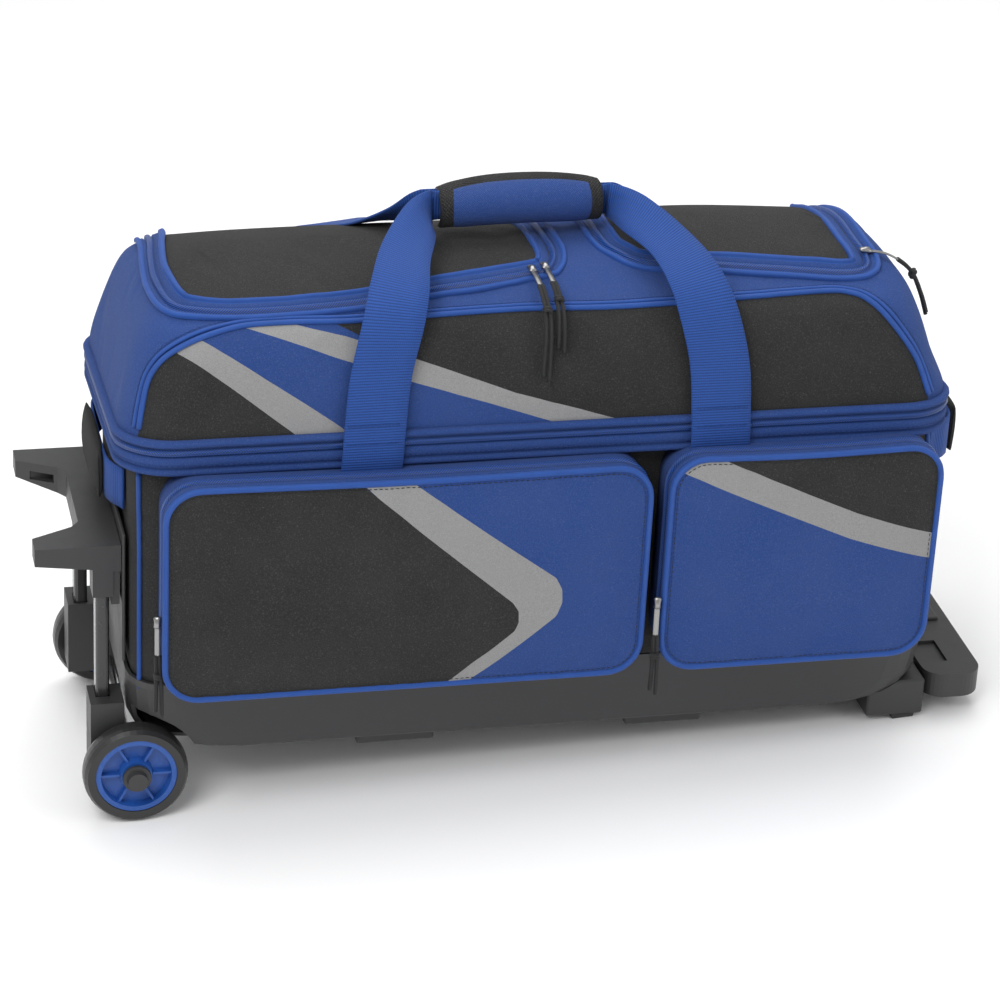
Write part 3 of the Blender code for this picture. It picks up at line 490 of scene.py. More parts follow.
def puffed(piece, pinned, pressure, cap, growth):
    """A short cloth simulation: the fabric swells between its pinned seams, by no more than cap."""
    group = piece.vertex_groups.new(name="seams")
    group.add([int(i) for i in pinned], 1.0, "REPLACE")
    rest = coordinates_of(piece)
    cloth = piece.modifiers.new("cloth", "CLOTH")
    for key, value in {
        "quality": 4, "mass": 0.3, "tension_stiffness": 30.0, "compression_stiffness": 30.0,
        "shear_stiffness": 15.0, "bending_stiffness": 2.0, "air_damping": 3.0, "use_pressure": True,
        "uniform_pressure_force": pressure, "shrink_min": -growth, "vertex_group_mass": "seams",
    }.items():
        setattr(cloth.settings, key, value)
    cloth.settings.effector_weights.gravity = 0.0
    cloth.collision_settings.use_collision = False
    cloth.point_cache.frame_start = 1
    cloth.point_cache.frame_end = CLOTH_FRAMES
    for step in range(1, CLOTH_FRAMES + 1):
        bpy.context.scene.frame_set(step)
    evaluated = piece.evaluated_get(bpy.context.evaluated_depsgraph_get())
    moved = np.zeros(len(evaluated.data.vertices) * 3)
    evaluated.data.vertices.foreach_get("co", moved)
    shift = moved.reshape(-1, 3) - rest
    size = np.linalg.norm(shift, axis=1)[:, None]
    shift *= np.tanh(size / cap) * cap / np.maximum(size, 1e-9)
    piece.modifiers.clear()
    piece.vertex_groups.clear()
    piece.data.vertices.foreach_set("co", (rest + shift).ravel())
    piece.data.update()
    bpy.context.scene.frame_set(1)


def near(points, line, reach):
    """Indices of the points within reach of a line of points."""
    line = np.array(line, float)
    return [i for i, p in enumerate(points) if (((line - p) ** 2).sum(1) < reach * reach).any()]


def signed_distance(points, polygon):
    """How far inside a polygon each 2D point is; negative outside."""
    corners = np.array(polygon, float)
    inside = np.zeros(len(points), bool)
    best = np.full(len(points), 1e9)
    for a, b in zip(corners, np.roll(corners, -1, 0)):
        edge = b - a
        t = np.clip(((points - a) @ edge) / (edge @ edge), 0, 1)
        best = np.minimum(best, np.linalg.norm(points - a - t[:, None] * edge, axis=1))
        crosses = (a[1] > points[:, 1]) != (b[1] > points[:, 1])
        with np.errstate(divide="ignore", invalid="ignore"):
            at = a[0] + (points[:, 1] - a[1]) * (b[0] - a[0]) / (b[1] - a[1])
        inside ^= crosses & (points[:, 0] < at)
    return np.where(inside, best, -best)


def store(piece, name, values):
    attribute = piece.data.attributes.new(name, "FLOAT", "POINT")
    attribute.data.foreach_set("value", np.array(values, np.float32))


class Surface:
    """Puts 2D outlines onto a finished piece, with the surface's normals."""

    def __init__(self, piece):
        points = [v.co.copy() for v in piece.data.vertices]
        faces = [list(p.vertices) for p in piece.data.polygons]
        self.tree = BVHTree.FromPolygons(points, faces)

    def cast(self, origins, heading):
        hits, normals = [], []
        for origin in origins:
            place, normal, _, _ = self.tree.ray_cast(Vector(origin), Vector(heading))
            if place is None:
                continue
            hits.append(tuple(place))
            normals.append(tuple(normal if normal.dot(Vector(heading)) < 0 else -normal))
        return np.array(hits), smooth_vectors(np.array(normals))

    def from_above(self, outline):
        return self.cast([(x, y, 0.7) for x, y in outline], (0, 0, -1))

    def from_front(self, outline):
        return self.cast([(x, -0.5, z) for x, z in outline], (0, 1, 0))


def smooth_vectors(vectors, passes=4):
    for _ in range(passes):
        inner = (vectors[:-2] + 2 * vectors[1:-1] + vectors[2:]) / 4
        vectors = unit(np.concatenate([vectors[:1], inner, vectors[-1:]]))
    return vectors


def drop(y):
    return BACK_DROP * (y + SLOPE_START) / (2 * SLOPE_START)


# ---------------------------------------------------------------- zips, stitches and pulls
def zip_band(name, path, normals, body, inner, outer):
    """Piping, tape, coil, tape and piping side by side; inner and outer are the pipings' offsets."""
    height = 0.0016
    profile = [(inner - PIPING, 0.0)]
    profile += bump(inner, PIPING, height)
    profile += [(inner + 0.0036, height), (-0.0052, height), (-0.0034, -0.0002)]
    profile += bump(0.0, 0.0024, height * 0.6)
    profile += [(0.0034, -0.0002), (0.0046, height), (outer - 0.0028, height)]
    profile += bump(outer, PIPING, height)
    profile += [(outer + PIPING, 0.0)]
    stripes = [material_across(a, inner, outer) for a, _ in profile]
    materials = [BLUE_BINDING, BLUE_CLOTH, BLUE_COIL]
    return sweep(name, path, normals, profile, materials, body, stripes=stripes)


def bump(middle, radius, base):
    angles = [math.pi * (1 - k / 6) for k in range(7)]
    return [(middle + radius * math.cos(a), base + radius * math.sin(a)) for a in angles]


def material_across(a, inner, outer):
    if abs(a - inner) <= PIPING + 1e-6 or abs(a - outer) <= PIPING + 1e-6:
        return 0
    return 2 if abs(a) < 0.0025 else 1


def stitches(name, path, normals, body, thread=BLUE_BINDING, length=0.0032, gap=0.0014):
    """A row of separate thread stitches pressed into the cloth."""
    path = np.array(path)
    run = running(path)
    normals = np.array(normals)
    points, faces = [], []
    place = gap
    while place + length < run[-1]:
        ends = []
        for at in (place, place + length * 0.25, place + length * 0.75, place + length):
            ends.append([np.interp(at, run, path[:, k]) for k in range(3)])
        normal = np.array([np.interp(place, run, normals[:, k]) for k in range(3)])
        add_stitch(points, faces, np.array(ends), normal)
        place += length + gap
    mesh = bpy.data.meshes.new(name)
    mesh.from_pydata(points, [], faces)
    mesh.materials.append(thread)
    mesh.shade_smooth()
    mesh.uv_layers.new(name="metres")
    place_piece(name, mesh, body)


def add_stitch(points, faces, line, normal):
    heading = line[-1] - line[0]
    aside = np.cross(heading, normal)
    aside /= np.linalg.norm(aside)
    start = len(points)
    for centre, size in zip(line, (0.35, 1.0, 1.0, 0.35)):
        for k in range(5):
            angle = 2 * math.pi * k / 5
            offset = aside * math.cos(angle) + normal * math.sin(angle)
            points.append(tuple(centre + offset * THREAD_RADIUS * size))
    for ring in range(3):
        for k in range(5):
            a, b = start + ring * 5 + k, start + ring * 5 + (k + 1) % 5
            faces.append((a, b, b + 5, a + 5))
    faces.append([start + k for k in range(4, -1, -1)])
    faces.append([start + 15 + k for k in range(5)])


# ---------------------------------------------------------------- lid
# left end, right end, half depth, corner radius, height at the front, crown across the depth
LID_RINGS = (
    (-0.3655, 0.3505, 0.1445, 0.046, 0.303, 0.0),
    (-0.3652, 0.3495, 0.1442, 0.047, 0.313, 0.0),
    (-0.361, 0.34, 0.1415, 0.05, 0.335, 0.0),
    (-0.35, 0.327, 0.136, 0.055, 0.37, 0.003),
    (-0.34, 0.316, 0.129, 0.055, 0.39, 0.009),
    (-0.328, 0.305, 0.117, 0.05, 0.3985, 0.017),
    (-0.313, 0.29, 0.096, 0.04, 0.406, 0.0205),
    (-0.298, 0.275, 0.06, 0.03, 0.4185, 0.008),
    (-0.288, 0.265, 0.022, 0.014, 0.4254, 0.0011),
    (-0.286, 0.263, 0.007, 0.005, 0.4262, 0.0003),
)
RIDGE_Z = 0.4264
LEFT_FLAP = (
    (-0.317, 0.086), (-0.32, 0.04), (-0.324, 0.005), (-0.3265, -0.042), (-0.321, -0.083), (-0.302, -0.099),
    (-0.252, -0.104), (-0.171, -0.099), (-0.111, -0.088), (-0.011, -0.071), (0.005, -0.0625), (0.011, -0.043),
    (0.01, -0.014), (0.009, 0.015), (0.008, 0.086),
)
RIGHT_FLAP = (
    (0.056, 0.086), (0.0555, 0.029), (0.057, -0.028), (0.068, -0.052), (0.088, -0.067), (0.15, -0.074),
    (0.206, -0.081), (0.257, -0.088), (0.277, -0.083), (0.281, -0.067), (0.278, -0.034), (0.278, 0.017),
    (0.276, 0.086),
)
FRONT_PANEL = (
    (-0.3505, 0.312), (-0.347, 0.331), (-0.3403, 0.354), (-0.3263, 0.373), (-0.3029, 0.3875),
    (-0.2731, 0.3938), (-0.2293, 0.395), (-0.1772, 0.3944), (-0.1242, 0.3951), (-0.0318, 0.3962),
    (0.0523, 0.3956), (0.1494, 0.397), (0.221, 0.398), (0.252, 0.3972), (0.27, 0.392),
    (0.288, 0.375), (0.3115, 0.3426), (0.324, 0.3109),
)
FLAP_INNER, FLAP_OUTER = -0.013, 0.009


def lid_ring(left, right, half_depth, radius, height, crown):
    """A ring with the same number of points on each side, so that rings line up."""
    corners = corner_arcs(left, right, -half_depth, half_depth, radius, 9)
    ring = []
    for arc, following, count in zip(corners, corners[1:] + corners[:1], (34, 92, 34, 92)):
        ring.extend(arc)
        for t in np.linspace(0, 1, count, endpoint=False)[1:]:
            ring.append(tuple(np.array(arc[-1]) * (1 - t) + np.array(following[0]) * t))
    rise = [crown * (1 - (y / half_depth) ** 2) + lift(x, y) for x, y in ring]
    return [(x, y, height + r - drop(y)) for (x, y), r in zip(ring, rise)]


def lift(x, y):
    """The lid stands a little fuller right of its middle."""
    return 0.009 * math.exp(-((x - 0.13) / 0.12) ** 2) * math.exp(-((y - 0.03) / 0.09) ** 2)


def make_lid():
    rows = [lid_ring(*ring) for ring in spline(LID_RINGS, 4)]
    rows.append([(x, 0.0, RIDGE_Z + lift(x, 0.0) - drop(0.0)) for x, _, _ in rows[-1]])
    inks = (
        ("front_panel", CHARCOAL, False),
        ("diagonal", ROYAL, False),
        ("first_stripe", SILVER, True),
        ("second_stripe", SILVER, True),
    )
    cloth = woven("lid_cloth", ROYAL, inks)
    lid = grid("lid_cover", rows, [cloth], "lid", around=True)
    sew_ridge(lid)
    before = Surface(lid)
    flaps = [curve_through(outline) for outline in (LEFT_FLAP, RIGHT_FLAP)]
    seams = [before.from_above(outline)[0] for outline in flaps]
    seams.append(before.from_front(curve_through(FRONT_PANEL))[0])
    points = coordinates_of(lid)
    pinned = near(points, np.concatenate(seams), 0.0055)
    pinned += [i for i, p in enumerate(points) if p[2] < 0.312 - drop(p[1])]
    puffed(lid, sorted(set(pinned)), 2.2, 0.005, growth=0.004)
    smoothed(lid)
    ink_lid(lid)
    surface = Surface(lid)
    for name, outline in zip(("left_top_flap", "right_top_flap"), flaps):
        cut_flap(lid, name, outline)
        path, normals = surface.from_above(outline)
        zip_band(name + "_zip", path, normals, "lid", FLAP_INNER, FLAP_OUTER)
    path, normals = surface.from_front(curve_through(FRONT_PANEL))
    cord("lid_front_piping", path, normals, PIPING, BLUE_BINDING, "lid", raised=0.0012)
    fold = offset_path(path, normals, -0.0052)
    cord("lid_front_fold", fold, normals, PIPING * 0.8, BLUE_BINDING, "lid", raised=0.0004)
    stitches("lid_front_stitches", offset_path(path, normals, -0.009, 0.0002), normals, "lid")
    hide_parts("lid_shell")


def sew_ridge(lid):
    mesh = bmesh.new()
    mesh.from_mesh(lid.data)
    bmesh.ops.remove_doubles(mesh, verts=mesh.verts, dist=1e-5)
    mesh.to_mesh(lid.data)
    mesh.free()


def offset_path(path, normals, aside, out=0.0):
    return path + sideways(path, normals) * aside + normals * out


def front_plane(points):
    """Coordinates across and up the front of the lid, along the cloth."""
    return np.stack([points[:, 0], points[:, 2] + 0.7 * points[:, 1]], 1)


def ink_lid(lid):
    points = coordinates_of(lid)
    flat = front_plane(points)
    on_front = points[:, 1] < -0.085
    outline = Surface(lid).from_front(curve_through(FRONT_PANEL))[0]
    edge = front_plane(outline)
    panel = np.concatenate([edge, [(0.33, 0.18), (-0.36, 0.18)]])
    inside = signed_distance(flat, panel)
    first = ((-0.222, 0.203), (-0.3195, 0.2872), (-0.345, 0.309), (-0.32, 0.314), (-0.3018, 0.299),
             (-0.2464, 0.2552), (-0.1878, 0.2108), (-0.17, 0.197), (-0.214, 0.197))
    second = ((-0.2615, 0.3073), (-0.285, 0.318), (-0.25, 0.322), (-0.211, 0.305), (-0.1813, 0.2949),
              (-0.1304, 0.2724), (-0.0394, 0.2327), (0.051, 0.2035), (0.07, 0.197), (0.01, 0.197),
              (-0.0085, 0.2053), (-0.1303, 0.2489), (-0.1855, 0.2725))
    diagonal = ((-0.2, 0.19), (-0.33, 0.31), (-0.22, 0.33), (-0.12, 0.26), (0.04, 0.2),
                (0.03, 0.19))
    shapes = {"front_panel": None, "diagonal": diagonal, "first_stripe": first, "second_stripe": second}
    for name, polygon in shapes.items():
        value = inside if polygon is None else np.minimum(inside, signed_distance(flat, polygon))
        store(lid, name, np.where(on_front, value, -0.05))


def cut_flap(lid, name, outline):
    """Moves the faces inside an outline from the lid to their own piece."""
    keep = bmesh.new()
    keep.from_mesh(lid.data)
    taken = keep.copy()
    for mesh, wanted in ((keep, False), (taken, True)):
        centres = np.array([tuple(f.calc_center_median()) for f in mesh.faces])
        inside = signed_distance(centres[:, :2], outline) > 0
        inside &= centres[:, 2] > 0.36
        doomed = [f for f, hit in zip(mesh.faces, inside) if hit != wanted]
        bmesh.ops.delete(mesh, geom=doomed, context="FACES")
    flap_mesh = bpy.data.meshes.new(name + "_cover")
    taken.to_mesh(flap_mesh)
    keep.to_mesh(lid.data)
    taken.free()
    keep.free()
    flap_mesh.materials.clear()
    flap_mesh.materials.append(BLACK_CLOTH)
    flap_mesh.shade_smooth()
    flap = place_piece(name + "_cover", flap_mesh, "lid")
    layer = flap.data.uv_layers.active
    for loop in flap.data.loops:
        x, y, _ = flap.data.vertices[loop.vertex_index].co
        layer.data[loop.index].uv = (x, y)
    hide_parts(name)


# ---------------------------------------------------------------- belts and lower body
def belt_path():
    loop = rounded_loop(
        UPPER_MIDDLE - BELT_HALF_LENGTH, UPPER_MIDDLE + BELT_HALF_LENGTH,
        -BELT_HALF_DEPTH, BELT_HALF_DEPTH, BELT_CORNER, 0.005,
    )
    path = np.array([(x, y, -drop(y)) for x, y in loop])
    return path, sideways(path, UP, True)


def make_belts():
    """Each belt is a folded band: piping along its free edge, tape, and half of the main zip."""
    path, normals = belt_path()
    lower = [(-LOWER_BELT_LEDGE, BELT_LOW)]
    lower += round_edge(0.002, BELT_LOW + 0.0026, 0.0028)
    lower += [(0.0018, 0.2815), (0.004, 0.283), (0.0046, 0.2865), (0.0038, 0.29), (0.0024, 0.291)]
    below, above = ZIP_LINE - 0.0001, ZIP_LINE + 0.0001
    lower += [(0.0006, 0.2918), (0.0006, 0.2923), (0.004, 0.293), (0.005, below), (-LOWER_BELT_LEDGE, below)]
    upper = [(-UPPER_BELT_LEDGE, above), (0.005, above), (0.004, 0.297), (0.0006, 0.2977), (0.0006, 0.2982),
             (0.0026, 0.2988), (0.0022, 0.3)]
    upper += round_edge(0.0024, BELT_HIGH - 0.003, 0.0032)
    upper += [(-UPPER_BELT_LEDGE, BELT_HIGH)]
    for name, body, profile in (("lower_belt", "bag_base", lower), ("upper_belt", "lid", upper)):
        stripes = [2 if 0.2919 < z < 0.2975 and o > 0 else 0 for o, z in profile]
        rows = carried(path, normals, UP, profile, True)
        materials = [BLUE_CLOTH, BLUE_BINDING, BLUE_COIL]
        belt = grid(name + "_cover", rows, materials, body, around=True, stripes=stripes)
        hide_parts(name)
    for name, body, out, height in (("lower", "bag_base", 0.0046, 0.2842), ("upper", "lid", 0.0026, 0.2983)):
        stitches(f"{name}_belt_stitches", path + normals * out + UP * height, normals, body)


def make_hinge_lining():
    """The strip of lining inside the rear of the belts, which holds the lid on."""
    depth = BELT_HALF_DEPTH - 0.0006
    fold = ZIP_LINE - drop(depth)
    rows = []
    for height in np.linspace(-0.01, 0.009, 14):
        rows.append([(x, depth, fold + height) for x in np.linspace(-0.318, 0.303, 90)])
    strip = grid("lid_hinge_lining", rows, [BLUE_CLOTH], None)
    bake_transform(strip)


def round_edge(out, middle, radius):
    angles = [-math.pi / 2 + math.pi * k / 6 for k in range(7)]
    return [(out + radius * math.cos(a), middle + radius * math.sin(a)) for a in angles]


def narrowing(z):
    """0 below the height where the body starts to narrow, 1 at the belt."""
    return max(0.0, (z - 0.18) / 0.094)


def body_ring(z):
    """The fabric body's outline at a height; it narrows and shifts towards the belt."""
    share = min(1.0, narrowing(z))
    half = BODY_HALF_LENGTH - 0.003 - 0.0065 * share
    middle = UPPER_MIDDLE * share
    return rounded_loop(middle - half, middle + half, -BODY_HALF_DEPTH, BODY_HALF_DEPTH, BODY_CORNER, 0.006)


def make_lower_body():
    heights = np.linspace(TRAY_TOP + 0.0005, BELT_LOW + 0.004, 30)
    count = len(body_ring(TRAY_TOP))
    rows = []
    for z in heights:
        ring = resampled(body_ring(z), 0.006, closed=True)
        ring = ring[:count] if len(ring) >= count else np.concatenate([ring, ring[: count - len(ring)]])
        rows.append([(x, y, z - drop(y) * narrowing(z)) for x, y in ring])
    cloth = woven("lower_cloth", CHARCOAL, ())
    shell = grid("lower_cover", rows, [cloth, LINING_CLOTH], "bag_base", around=True)
    thicken(shell, 0.0034, lining=1)
    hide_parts("lower_shell")
    surface = Surface(shell)
    for side, end in ((-1, -1), (-1, 1), (1, -1), (1, 1)):
        path, normals = [], []
        y = side * CORNER_PIPING_Y
        for z in np.linspace(0.0605, 0.268, 40):
            level = z - drop(y) * narrowing(z)
            outside = Vector((end * 0.6, y, max(level, TRAY_TOP + 0.0035)))
            place, normal, _, _ = surface.tree.ray_cast(outside, Vector((-end, 0, 0)))
            place.z = level
            path.append(tuple(place))
            normals.append(tuple(normal))
        name = f"corner_piping_{'front' if side < 0 else 'rear'}_{'left' if end < 0 else 'right'}"
        cord(name, path, normals, 0.0022, BLUE_BINDING, "bag_base", raised=0.0014)


# ---------------------------------------------------------------- pockets
def pocket_outline(span, high, inset, step=0.004):
    left, right = span
    corner = POCKET_CORNER - inset
    loop = rounded_loop(left + inset, right - inset, POCKET_LOW + inset, high - inset, corner, step)
    return np.array([(x, z - top_sag(x, z, span, high)) for x, z in loop])


def top_sag(x, z, span, high):
    """The top edge hangs a few millimetres lower between its corners."""
    share = min(1.0, max(0.0, (x - span[0]) / (span[1] - span[0])))
    return 0.002 * math.sin(math.pi * share) ** 2 * max(0.0, (z - POCKET_LOW) / (high - POCKET_LOW)) ** 3


def panel_rows(span, high, inset):
    """Rows of points from the low edge to the high edge of a rounded panel, in X and Z."""
    left, right = span[0] + inset, span[1] - inset
    low, top = POCKET_LOW + inset, high - inset
    radius = POCKET_CORNER - inset
    arc = [radius * (1 - math.cos(math.pi / 2 * k / 6)) for k in range(7)]
    heights = [low + a for a in arc] + list(np.linspace(low + radius, top - radius, 26)[1:-1])
    heights += [top - a for a in reversed(arc)]
    count = int((right - left) / 0.0055)
    rows = []
    for z in heights:
        into = max(0.0, radius - (z - low), radius - (top - z))
        cut = radius - math.sqrt(max(0.0, radius ** 2 - into ** 2))
        xs = np.linspace(left + cut, right - cut, count)
        rows.append([(x, z - top_sag(x, z, span, high)) for x in xs])
    return np.array(rows)


def make_pocket(name, pocket, base, shapes, body):
    left, right, high = pocket
    span = (left, right)
    outline = pocket_outline(span, high, 0.0)
    path = np.array([(x, POCKET_BACK, z) for x, z in outline])
    normals = np.cross(BACK, directions(path, True))
    deep = POCKET_EDGE - POCKET_BACK
    coil = deep + 0.0125
    profile = [(0.0, -0.0004), (coil * 0.5, 0.0006), (coil + 0.0058, 0.0008), (coil + 0.0046, 0.0008),
               (coil + 0.0032, -0.0012)]
    profile += [(coil + a, 0.0004 + b) for a, b in reversed(bump(0.0, 0.0023, 0.0))]
    profile += [(coil - 0.0032, -0.0012), (coil - 0.0044, 0.001), (deep + 0.0012, 0.001), (deep, -0.0016),
                (deep + 0.006, -0.003), (0.0, -0.0032)]
    stripes = [2 if abs(a - coil) < 0.0024 and b > 0.0003 else 0 for a, b in profile]
    rows = carried(path, BACK, normals, profile, True)[:, ::-1]
    stripes = stripes[::-1][1:] + [0]
    materials = [BLUE_CLOTH, LINING_CLOTH, BLUE_COIL]
    gusset = grid(f"{name}_gusset_cover", rows, materials, "bag_base", around=True,
                  stripes=stripes)
    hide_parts(f"{name}_gusset")
    make_pocket_panel(name, span, high, base, shapes, body)


def make_pocket_panel(name, span, high, base, shapes, body):
    flat = panel_rows(span, high, 0.0012)
    tall, wide = flat.shape[:2]
    v, u = np.meshgrid(np.linspace(-1, 1, tall), np.linspace(-1, 1, wide), indexing="ij")
    swell = 0.005 * (1 - u ** 6) * (1 - v ** 4)
    rows = np.stack([flat[..., 0], POCKET_EDGE - 0.0022 - swell, flat[..., 1]], 2)
    cloth = woven(f"{name}_cloth", base, tuple((n, c, tape) for n, c, tape, _ in shapes))
    panel = grid(f"{name}_panel_cover", rows, [cloth, LINING_CLOTH], body,
                 uv=lambda p: (p[0], p[2]))
    edge = [i * wide + j for i in range(tall) for j in range(wide)
            if i in (0, tall - 1) or j in (0, wide - 1)]
    puffed(panel, edge, 1.5, 0.0035, growth=0.006)
    smoothed(panel)
    surface = Surface(panel)
    thicken(panel, 0.003, lining=1)
    points = coordinates_of(panel)[:, [0, 2]]
    for attribute, _, _, polygon in shapes:
        store(panel, attribute, signed_distance(points, polygon))
    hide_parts(f"{name}_panel")
    loop = pocket_outline(span, high, 0.0006)
    path = np.array([(x, POCKET_EDGE - 0.002, z) for x, z in loop])
    facing = np.tile(-BACK, (len(path), 1))
    cord(f"{name}_piping", path, facing, 0.0027, BLUE_BINDING, body, closed=True)
    inner = pocket_outline(span, high, 0.0052)
    place, normals = surface.from_front(inner)
    stitches(f"{name}_stitches", place, normals, body, BLACK_BINDING)


def make_pockets():
    chevron = ((-0.1133, 0.2591), (-0.0055, 0.1784), (0.0004, 0.1669), (0.0011, 0.154), (-0.0034, 0.1415),
               (-0.0715, 0.0833), (-0.085, 0.07), (-0.105, 0.07), (-0.089, 0.0846), (-0.039, 0.1295),
               (-0.0359, 0.1374), (-0.0365, 0.1486), (-0.0418, 0.157), (-0.1595, 0.2604), (-0.185, 0.285),
               (-0.148, 0.285))
    dark = ((-0.36, 0.3), (-0.178, 0.277), (-0.1595, 0.2604), (-0.0418, 0.157), (-0.0365, 0.1486),
            (-0.0359, 0.1374), (-0.039, 0.1295), (-0.089, 0.0846), (-0.105, 0.06), (-0.36, 0.06))
    left_shapes = (("pocket_dark", CHARCOAL, False, dark), ("pocket_stripe", SILVER, True, chevron))
    make_pocket("left_pocket", LEFT_POCKET, ROYAL, left_shapes, "left_pocket_door")
    stripe = ((0.09, 0.272), (0.1123, 0.2619), (0.2514, 0.199), (0.3203, 0.1743), (0.35, 0.164),
              (0.35, 0.188), (0.3189, 0.1993), (0.2566, 0.2227), (0.1529, 0.2691), (0.12, 0.284))
    dark = ((0.12, 0.284), (0.1529, 0.2691), (0.2566, 0.2227), (0.3189, 0.1993), (0.35, 0.188), (0.35, 0.31),
            (0.12, 0.31))
    right_shapes = (("pocket_dark", CHARCOAL, False, dark), ("pocket_stripe", SILVER, True, stripe))
    make_pocket("right_pocket", RIGHT_POCKET, ROYAL, right_shapes, "right_pocket_door")


# ---------------------------------------------------------------- straps and grips
# distance from the straps' middle, distance in front of the mid plane, height, then the vector across
FRONT_LEG = (
    (0.15, 0.152, 0.27, 0.052, 0.0, 0.0),
    (0.1495, 0.153, 0.278, 0.052, 0.0, 0.0),
    (0.149, 0.1535, 0.288, 0.052, 0.0, 0.0),
    (0.148, 0.153, 0.308, 0.052, 0.0, 0.0),
    (0.144, 0.1495, 0.355, 0.052, 0.0, 0.0),
    (0.133, 0.14, 0.4, 0.051, -0.004, -0.004),
    (0.124, 0.118, 0.424, 0.046, -0.015, -0.008),
    (0.112, 0.08, 0.437, 0.036, -0.024, -0.011),
    (0.092, 0.038, 0.446, 0.022, -0.02, -0.024),
    (0.078, 0.008, 0.446, 0.003, -0.003, -0.03),
    (0.064, 0.004, 0.446, 0.0, 0.0, -0.026),
)
REAR_LEG = (
    (0.15, 0.151, 0.266, 0.052, 0.0, 0.0),
    (0.15, 0.152, 0.3, 0.052, 0.0, 0.0),
    (0.149, 0.148, 0.33, 0.052, 0.0, 0.0),
    (0.148, 0.142, 0.35, 0.052, -0.002, 0.0),
    (0.146, 0.1325, 0.3725, 0.051, -0.006, 0.0),
    (0.142, 0.118, 0.3825, 0.049, -0.014, -0.001),
    (0.131, 0.088, 0.395, 0.045, -0.022, -0.003),
    (0.117, 0.056, 0.409, 0.034, -0.025, -0.008),
    (0.101, 0.027, 0.426, 0.018, -0.018, -0.018),
    (0.088, 0.008, 0.441, 0.004, -0.004, -0.028),
    (0.064, 0.004, 0.445, 0.0, 0.0, -0.026),
)


def webbing(name, stations, body):
    """Flat webbing through stations of a centre and the vector across its width, with rounded edges."""
    line = curve_through(stations)
    centres, across = line[:, :3], line[:, 3:] / 2
    out = sideways(centres, across) * (WEBBING_THICK / 2)
    face = (-0.97, -0.5, 0.0, 0.5, 0.97)
    section = [(a, -1.0) for a in face] + [(1.0, 0.0)] + [(-a, 1.0) for a in face] + [(-1.0, 0.0)]
    rows = carried(centres, across, out, section)
    piece = grid(name, rows, [BLUE_WEBBING], body, around=True, ends=(0, len(rows) - 1))
    swap_axes(piece)
    return piece


def swap_axes(piece):
    """Turns the cloth axes, so that the first runs along the webbing."""
    layer = piece.data.uv_layers.active.data
    flat = np.zeros(len(layer) * 2, np.float32)
    layer.foreach_get("uv", flat)
    layer.foreach_set("uv", flat.reshape(-1, 2)[:, ::-1].ravel())


def strap_stations(leg, side):
    stations = [(STRAP_CENTRE - x, side * y, z, ax, side * -ay, az) for x, y, z, ax, ay, az in leg]
    mirrored = [(STRAP_CENTRE + x, side * y, z, -ax, side * -ay, az) for x, y, z, ax, ay, az in reversed(leg)]
    return stations + mirrored


def make_straps():
    front = webbing("front_strap_webbing", strap_stations(FRONT_LEG, -1), None)
    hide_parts("front_carry_strap")
    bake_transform(front)
    rear = webbing("rear_strap_webbing", strap_stations(REAR_LEG, 1), "lid")
    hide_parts("rear_carry_strap")
    for side in (-1, 1):
        stitched_box(side)


def stitched_box(side):
    """The sewn patch where a front leg's end is doubled over, near the belt: two rows of stitches."""
    centre = STRAP_CENTRE + side * 0.1488
    for k, height in enumerate((0.2985, 0.315)):
        line = [(centre + a * 0.0235, -0.1548, height) for a in np.linspace(-1, 1, 14)]
        facing = np.tile(-BACK, (len(line), 1))
        name = f"strap_stitches_{'left' if side < 0 else 'right'}_{k}"
        stitches(name, line, facing, "front_strap", length=0.0024, gap=0.0008)


# distance from the straps' middle, centre height, half height, half depth
GRIP_SECTIONS = (
    (-0.069, 0.4425, 0.015, 0.0165), (-0.056, 0.445, 0.0168, 0.018), (-0.03, 0.4482, 0.018, 0.0192),
    (0.0, 0.4492, 0.0185, 0.0196), (0.03, 0.4488, 0.018, 0.0192), (0.056, 0.4468, 0.0168, 0.018),
    (0.069, 0.4452, 0.015, 0.0165),
)

GRIP_PAD_HALF = 0.0605


def make_grip():
    """The black cover wraps the top, the back and both ends; the blue pad fills the front between them."""
    fine = curve_through(GRIP_SECTIONS, 0.0025)
    wrap_rows, pad_rows, edge = [], [], []
    for x, z, tall, deep in fine:
        opening = min(1.0, max(0.0, (0.059 - abs(x)) / 0.027))
        start = -70.0 + 118.0 * opening * opening * (3 - 2 * opening)
        wrap_rows.append([grip_point(x, z, tall, deep, a) for a in np.linspace(start, 236.0, 30)])
        if abs(x) < GRIP_PAD_HALF:
            full = math.sqrt(max(0.0, 1 - (abs(x) / GRIP_PAD_HALF) ** 6))
            size = 0.8 + 0.17 * full
            pad_rows.append([grip_point(x, z, tall * size, deep * (size + 0.12 * full), a)
                             for a in np.linspace(-100.0, 66.0, 22)])
            edge.append(grip_point(x, z, tall, deep, start))
    wrap = grid("grip_wrap_cover", wrap_rows, [COARSE_CLOTH], "lid")
    thicken(wrap, 0.0024)
    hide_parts("grip_wrap")
    pad = grid("grip_pad_cover", pad_rows, [SOFT_BLUE], "front_strap")
    thicken(pad, 0.004)
    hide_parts("grip_pad")
    facing = unit(np.array([(0.0, p[1], p[2] - 0.448) for p in edge]))
    cord("grip_front_binding", edge, facing, 0.0017, BLACK_BINDING, "lid")
    for name, row in (("left", wrap_rows[0]), ("right", wrap_rows[-1])):
        facing = unit(np.array(row) - np.mean(row, axis=0))
        cord(f"grip_end_binding_{name}", row, facing, 0.0019, BLACK_BINDING, "lid")


